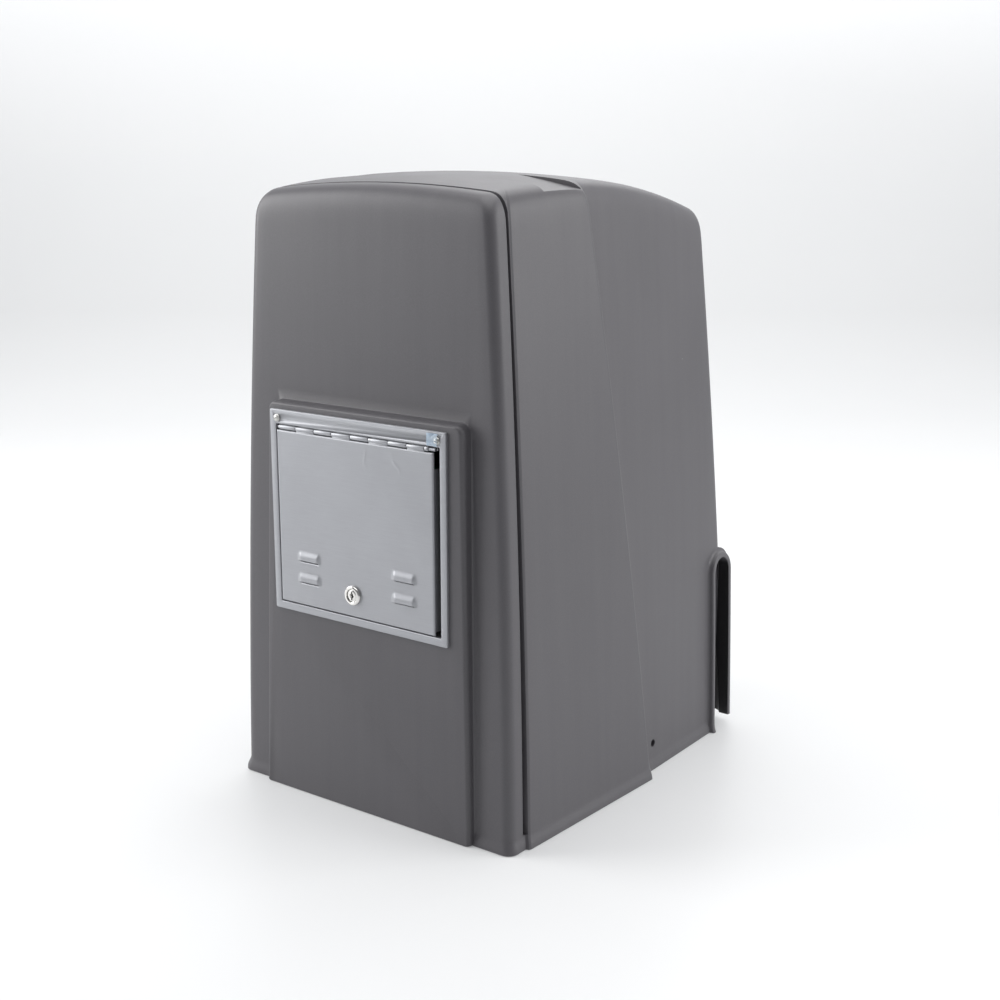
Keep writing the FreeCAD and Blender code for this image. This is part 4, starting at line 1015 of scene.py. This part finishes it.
finish_piece(cover, "cover", "cover_plastic", "cover_shell")
finish_piece(surround, "cover", "door_steel", "plate_frame")
finish_piece(kn, "cover", "door_steel")
finish_piece(door, "door", "door_steel", "door_flap")
finish_piece(flanges, "door", "door_steel")
finish_piece(dkn, "door", "door_steel")
finish_piece(barrel, "door", "lock_chrome", "lock_barrel")
finish_piece(plug, "lock", "lock_chrome", "lock_plug")
finish_piece(screws[0], "cover", "zinc_steel", "plate_screws")
finish_piece(screws[1], "cover", "zinc_steel", "plate_screws")
film.data.materials.append(film_material())
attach(film, "cover")

sub = {s["node"]: s["material_slot"] for s in frame["record"]["subparts"]}
for n, ob in NODES.items():
    for s in ob.material_slots:
        s.material = M[sub[n]]

# ------------------------------------------------------------------ floor, light, camera
AZ, EL = math.radians(36.65), math.radians(13.29)
prof = [(-4.5, 0.0), (-2.0, 0.0), (0.0, 0.0), (1.2, 0.0)]
for i in range(1, 25):
    t = math.radians(90 * i / 24)
    prof.append((1.2 + 1.3 * math.sin(t), 1.3 * (1 - math.cos(t))))
prof.append((2.5, 3.4))
c, s = math.cos(AZ), math.sin(AZ)
vs, fs = [], []
for k, w in enumerate((-5.0, 5.0)):
    for d, z in prof:
        # d runs away from the camera, w across
        vs.append((-s * d + c * w, c * d + s * w, z))
m = len(prof)
for i in range(m - 1):
    fs.append((i, i + 1, m + i + 1, m + i))
floor = make("studio_floor", vs, fs, mm=False, merge=0)
if floor.data.polygons[0].normal.z < 0:
    floor.data.flip_normals()
mf, nt, b, tc = new_mat("studio_floor_look")
w = tex(nt, tc, 3, 3)
nt.links.new(ramp(nt, w, [(0.3, (0.553, 0.555, 0.557)), (0.7, (0.563, 0.565, 0.567))]), b.inputs["Base Color"])
b.inputs["Roughness"].default_value = 0.38
b.inputs["Specular IOR Level"].default_value = 0.35
sepz = nt.nodes.new("ShaderNodeSeparateXYZ")
nt.links.new(tc.outputs["Object"], sepz.inputs["Vector"])
b.inputs["Emission Color"].default_value = (0.97, 0.985, 1.0, 1.0)
nt.links.new(span(nt, sepz.outputs["Z"], 0.12, 0.8, 0.235, 0.70), b.inputs["Emission Strength"])
floor.data.materials.append(mf)


def softbox(name, az, el, dist, w, h, power, target=(0, 0, 0.2), colour=(1, 1, 1)):
    """Azimuth 0 stands in front of the door, 90 to the right of it."""
    a, e = math.radians(az), math.radians(el)
    d = Vector((math.sin(a) * math.cos(e), -math.cos(a) * math.cos(e), math.sin(e)))
    li = bpy.data.lights.new(name, "AREA")
    li.shape = "RECTANGLE"
    li.size, li.size_y = w, h
    li.energy = power
    li.color = colour
    ob = link(bpy.data.objects.new(name, li))
    ob.location = Vector(target) + d * dist
    ob.rotation_euler = (-d).to_track_quat("-Z", "Y").to_euler()
    return ob


softbox("soft_left", -58, 22, 1.7, 1.0, 1.3, 25)
softbox("soft_right", 120, 22, 1.7, 1.1, 1.3, 19)
softbox("soft_top", 36, 88, 1.7, 1.6, 1.6, 23)
softbox("soft_back", 200, 45, 1.9, 1.4, 1.0, 9)

world = bpy.data.worlds.new("studio_world")
scene.world = world
world.use_nodes = True
bg = world.node_tree.nodes["Background"]
bg.inputs["Color"].default_value = (0.96, 0.97, 1.0, 1.0)
bg.inputs["Strength"].default_value = 0.24

cam = bpy.data.cameras.new("photo_camera")
cam.sensor_width = 36.0
cam.lens = 1504.3 * 36.0 / 1000.0
cam.clip_start, cam.clip_end = 0.05, 50
co = link(bpy.data.objects.new("photo_camera", cam))
co.location = (0.6019, -0.8089, 0.4164)
co.rotation_euler = (math.pi / 2 - EL, 0.0, AZ)
scene.camera = co
scene.view_settings.view_transform = "Standard"
scene.view_settings.look = "None"
scene.view_settings.exposure = 0.0
scene.view_settings.gamma = 1.0
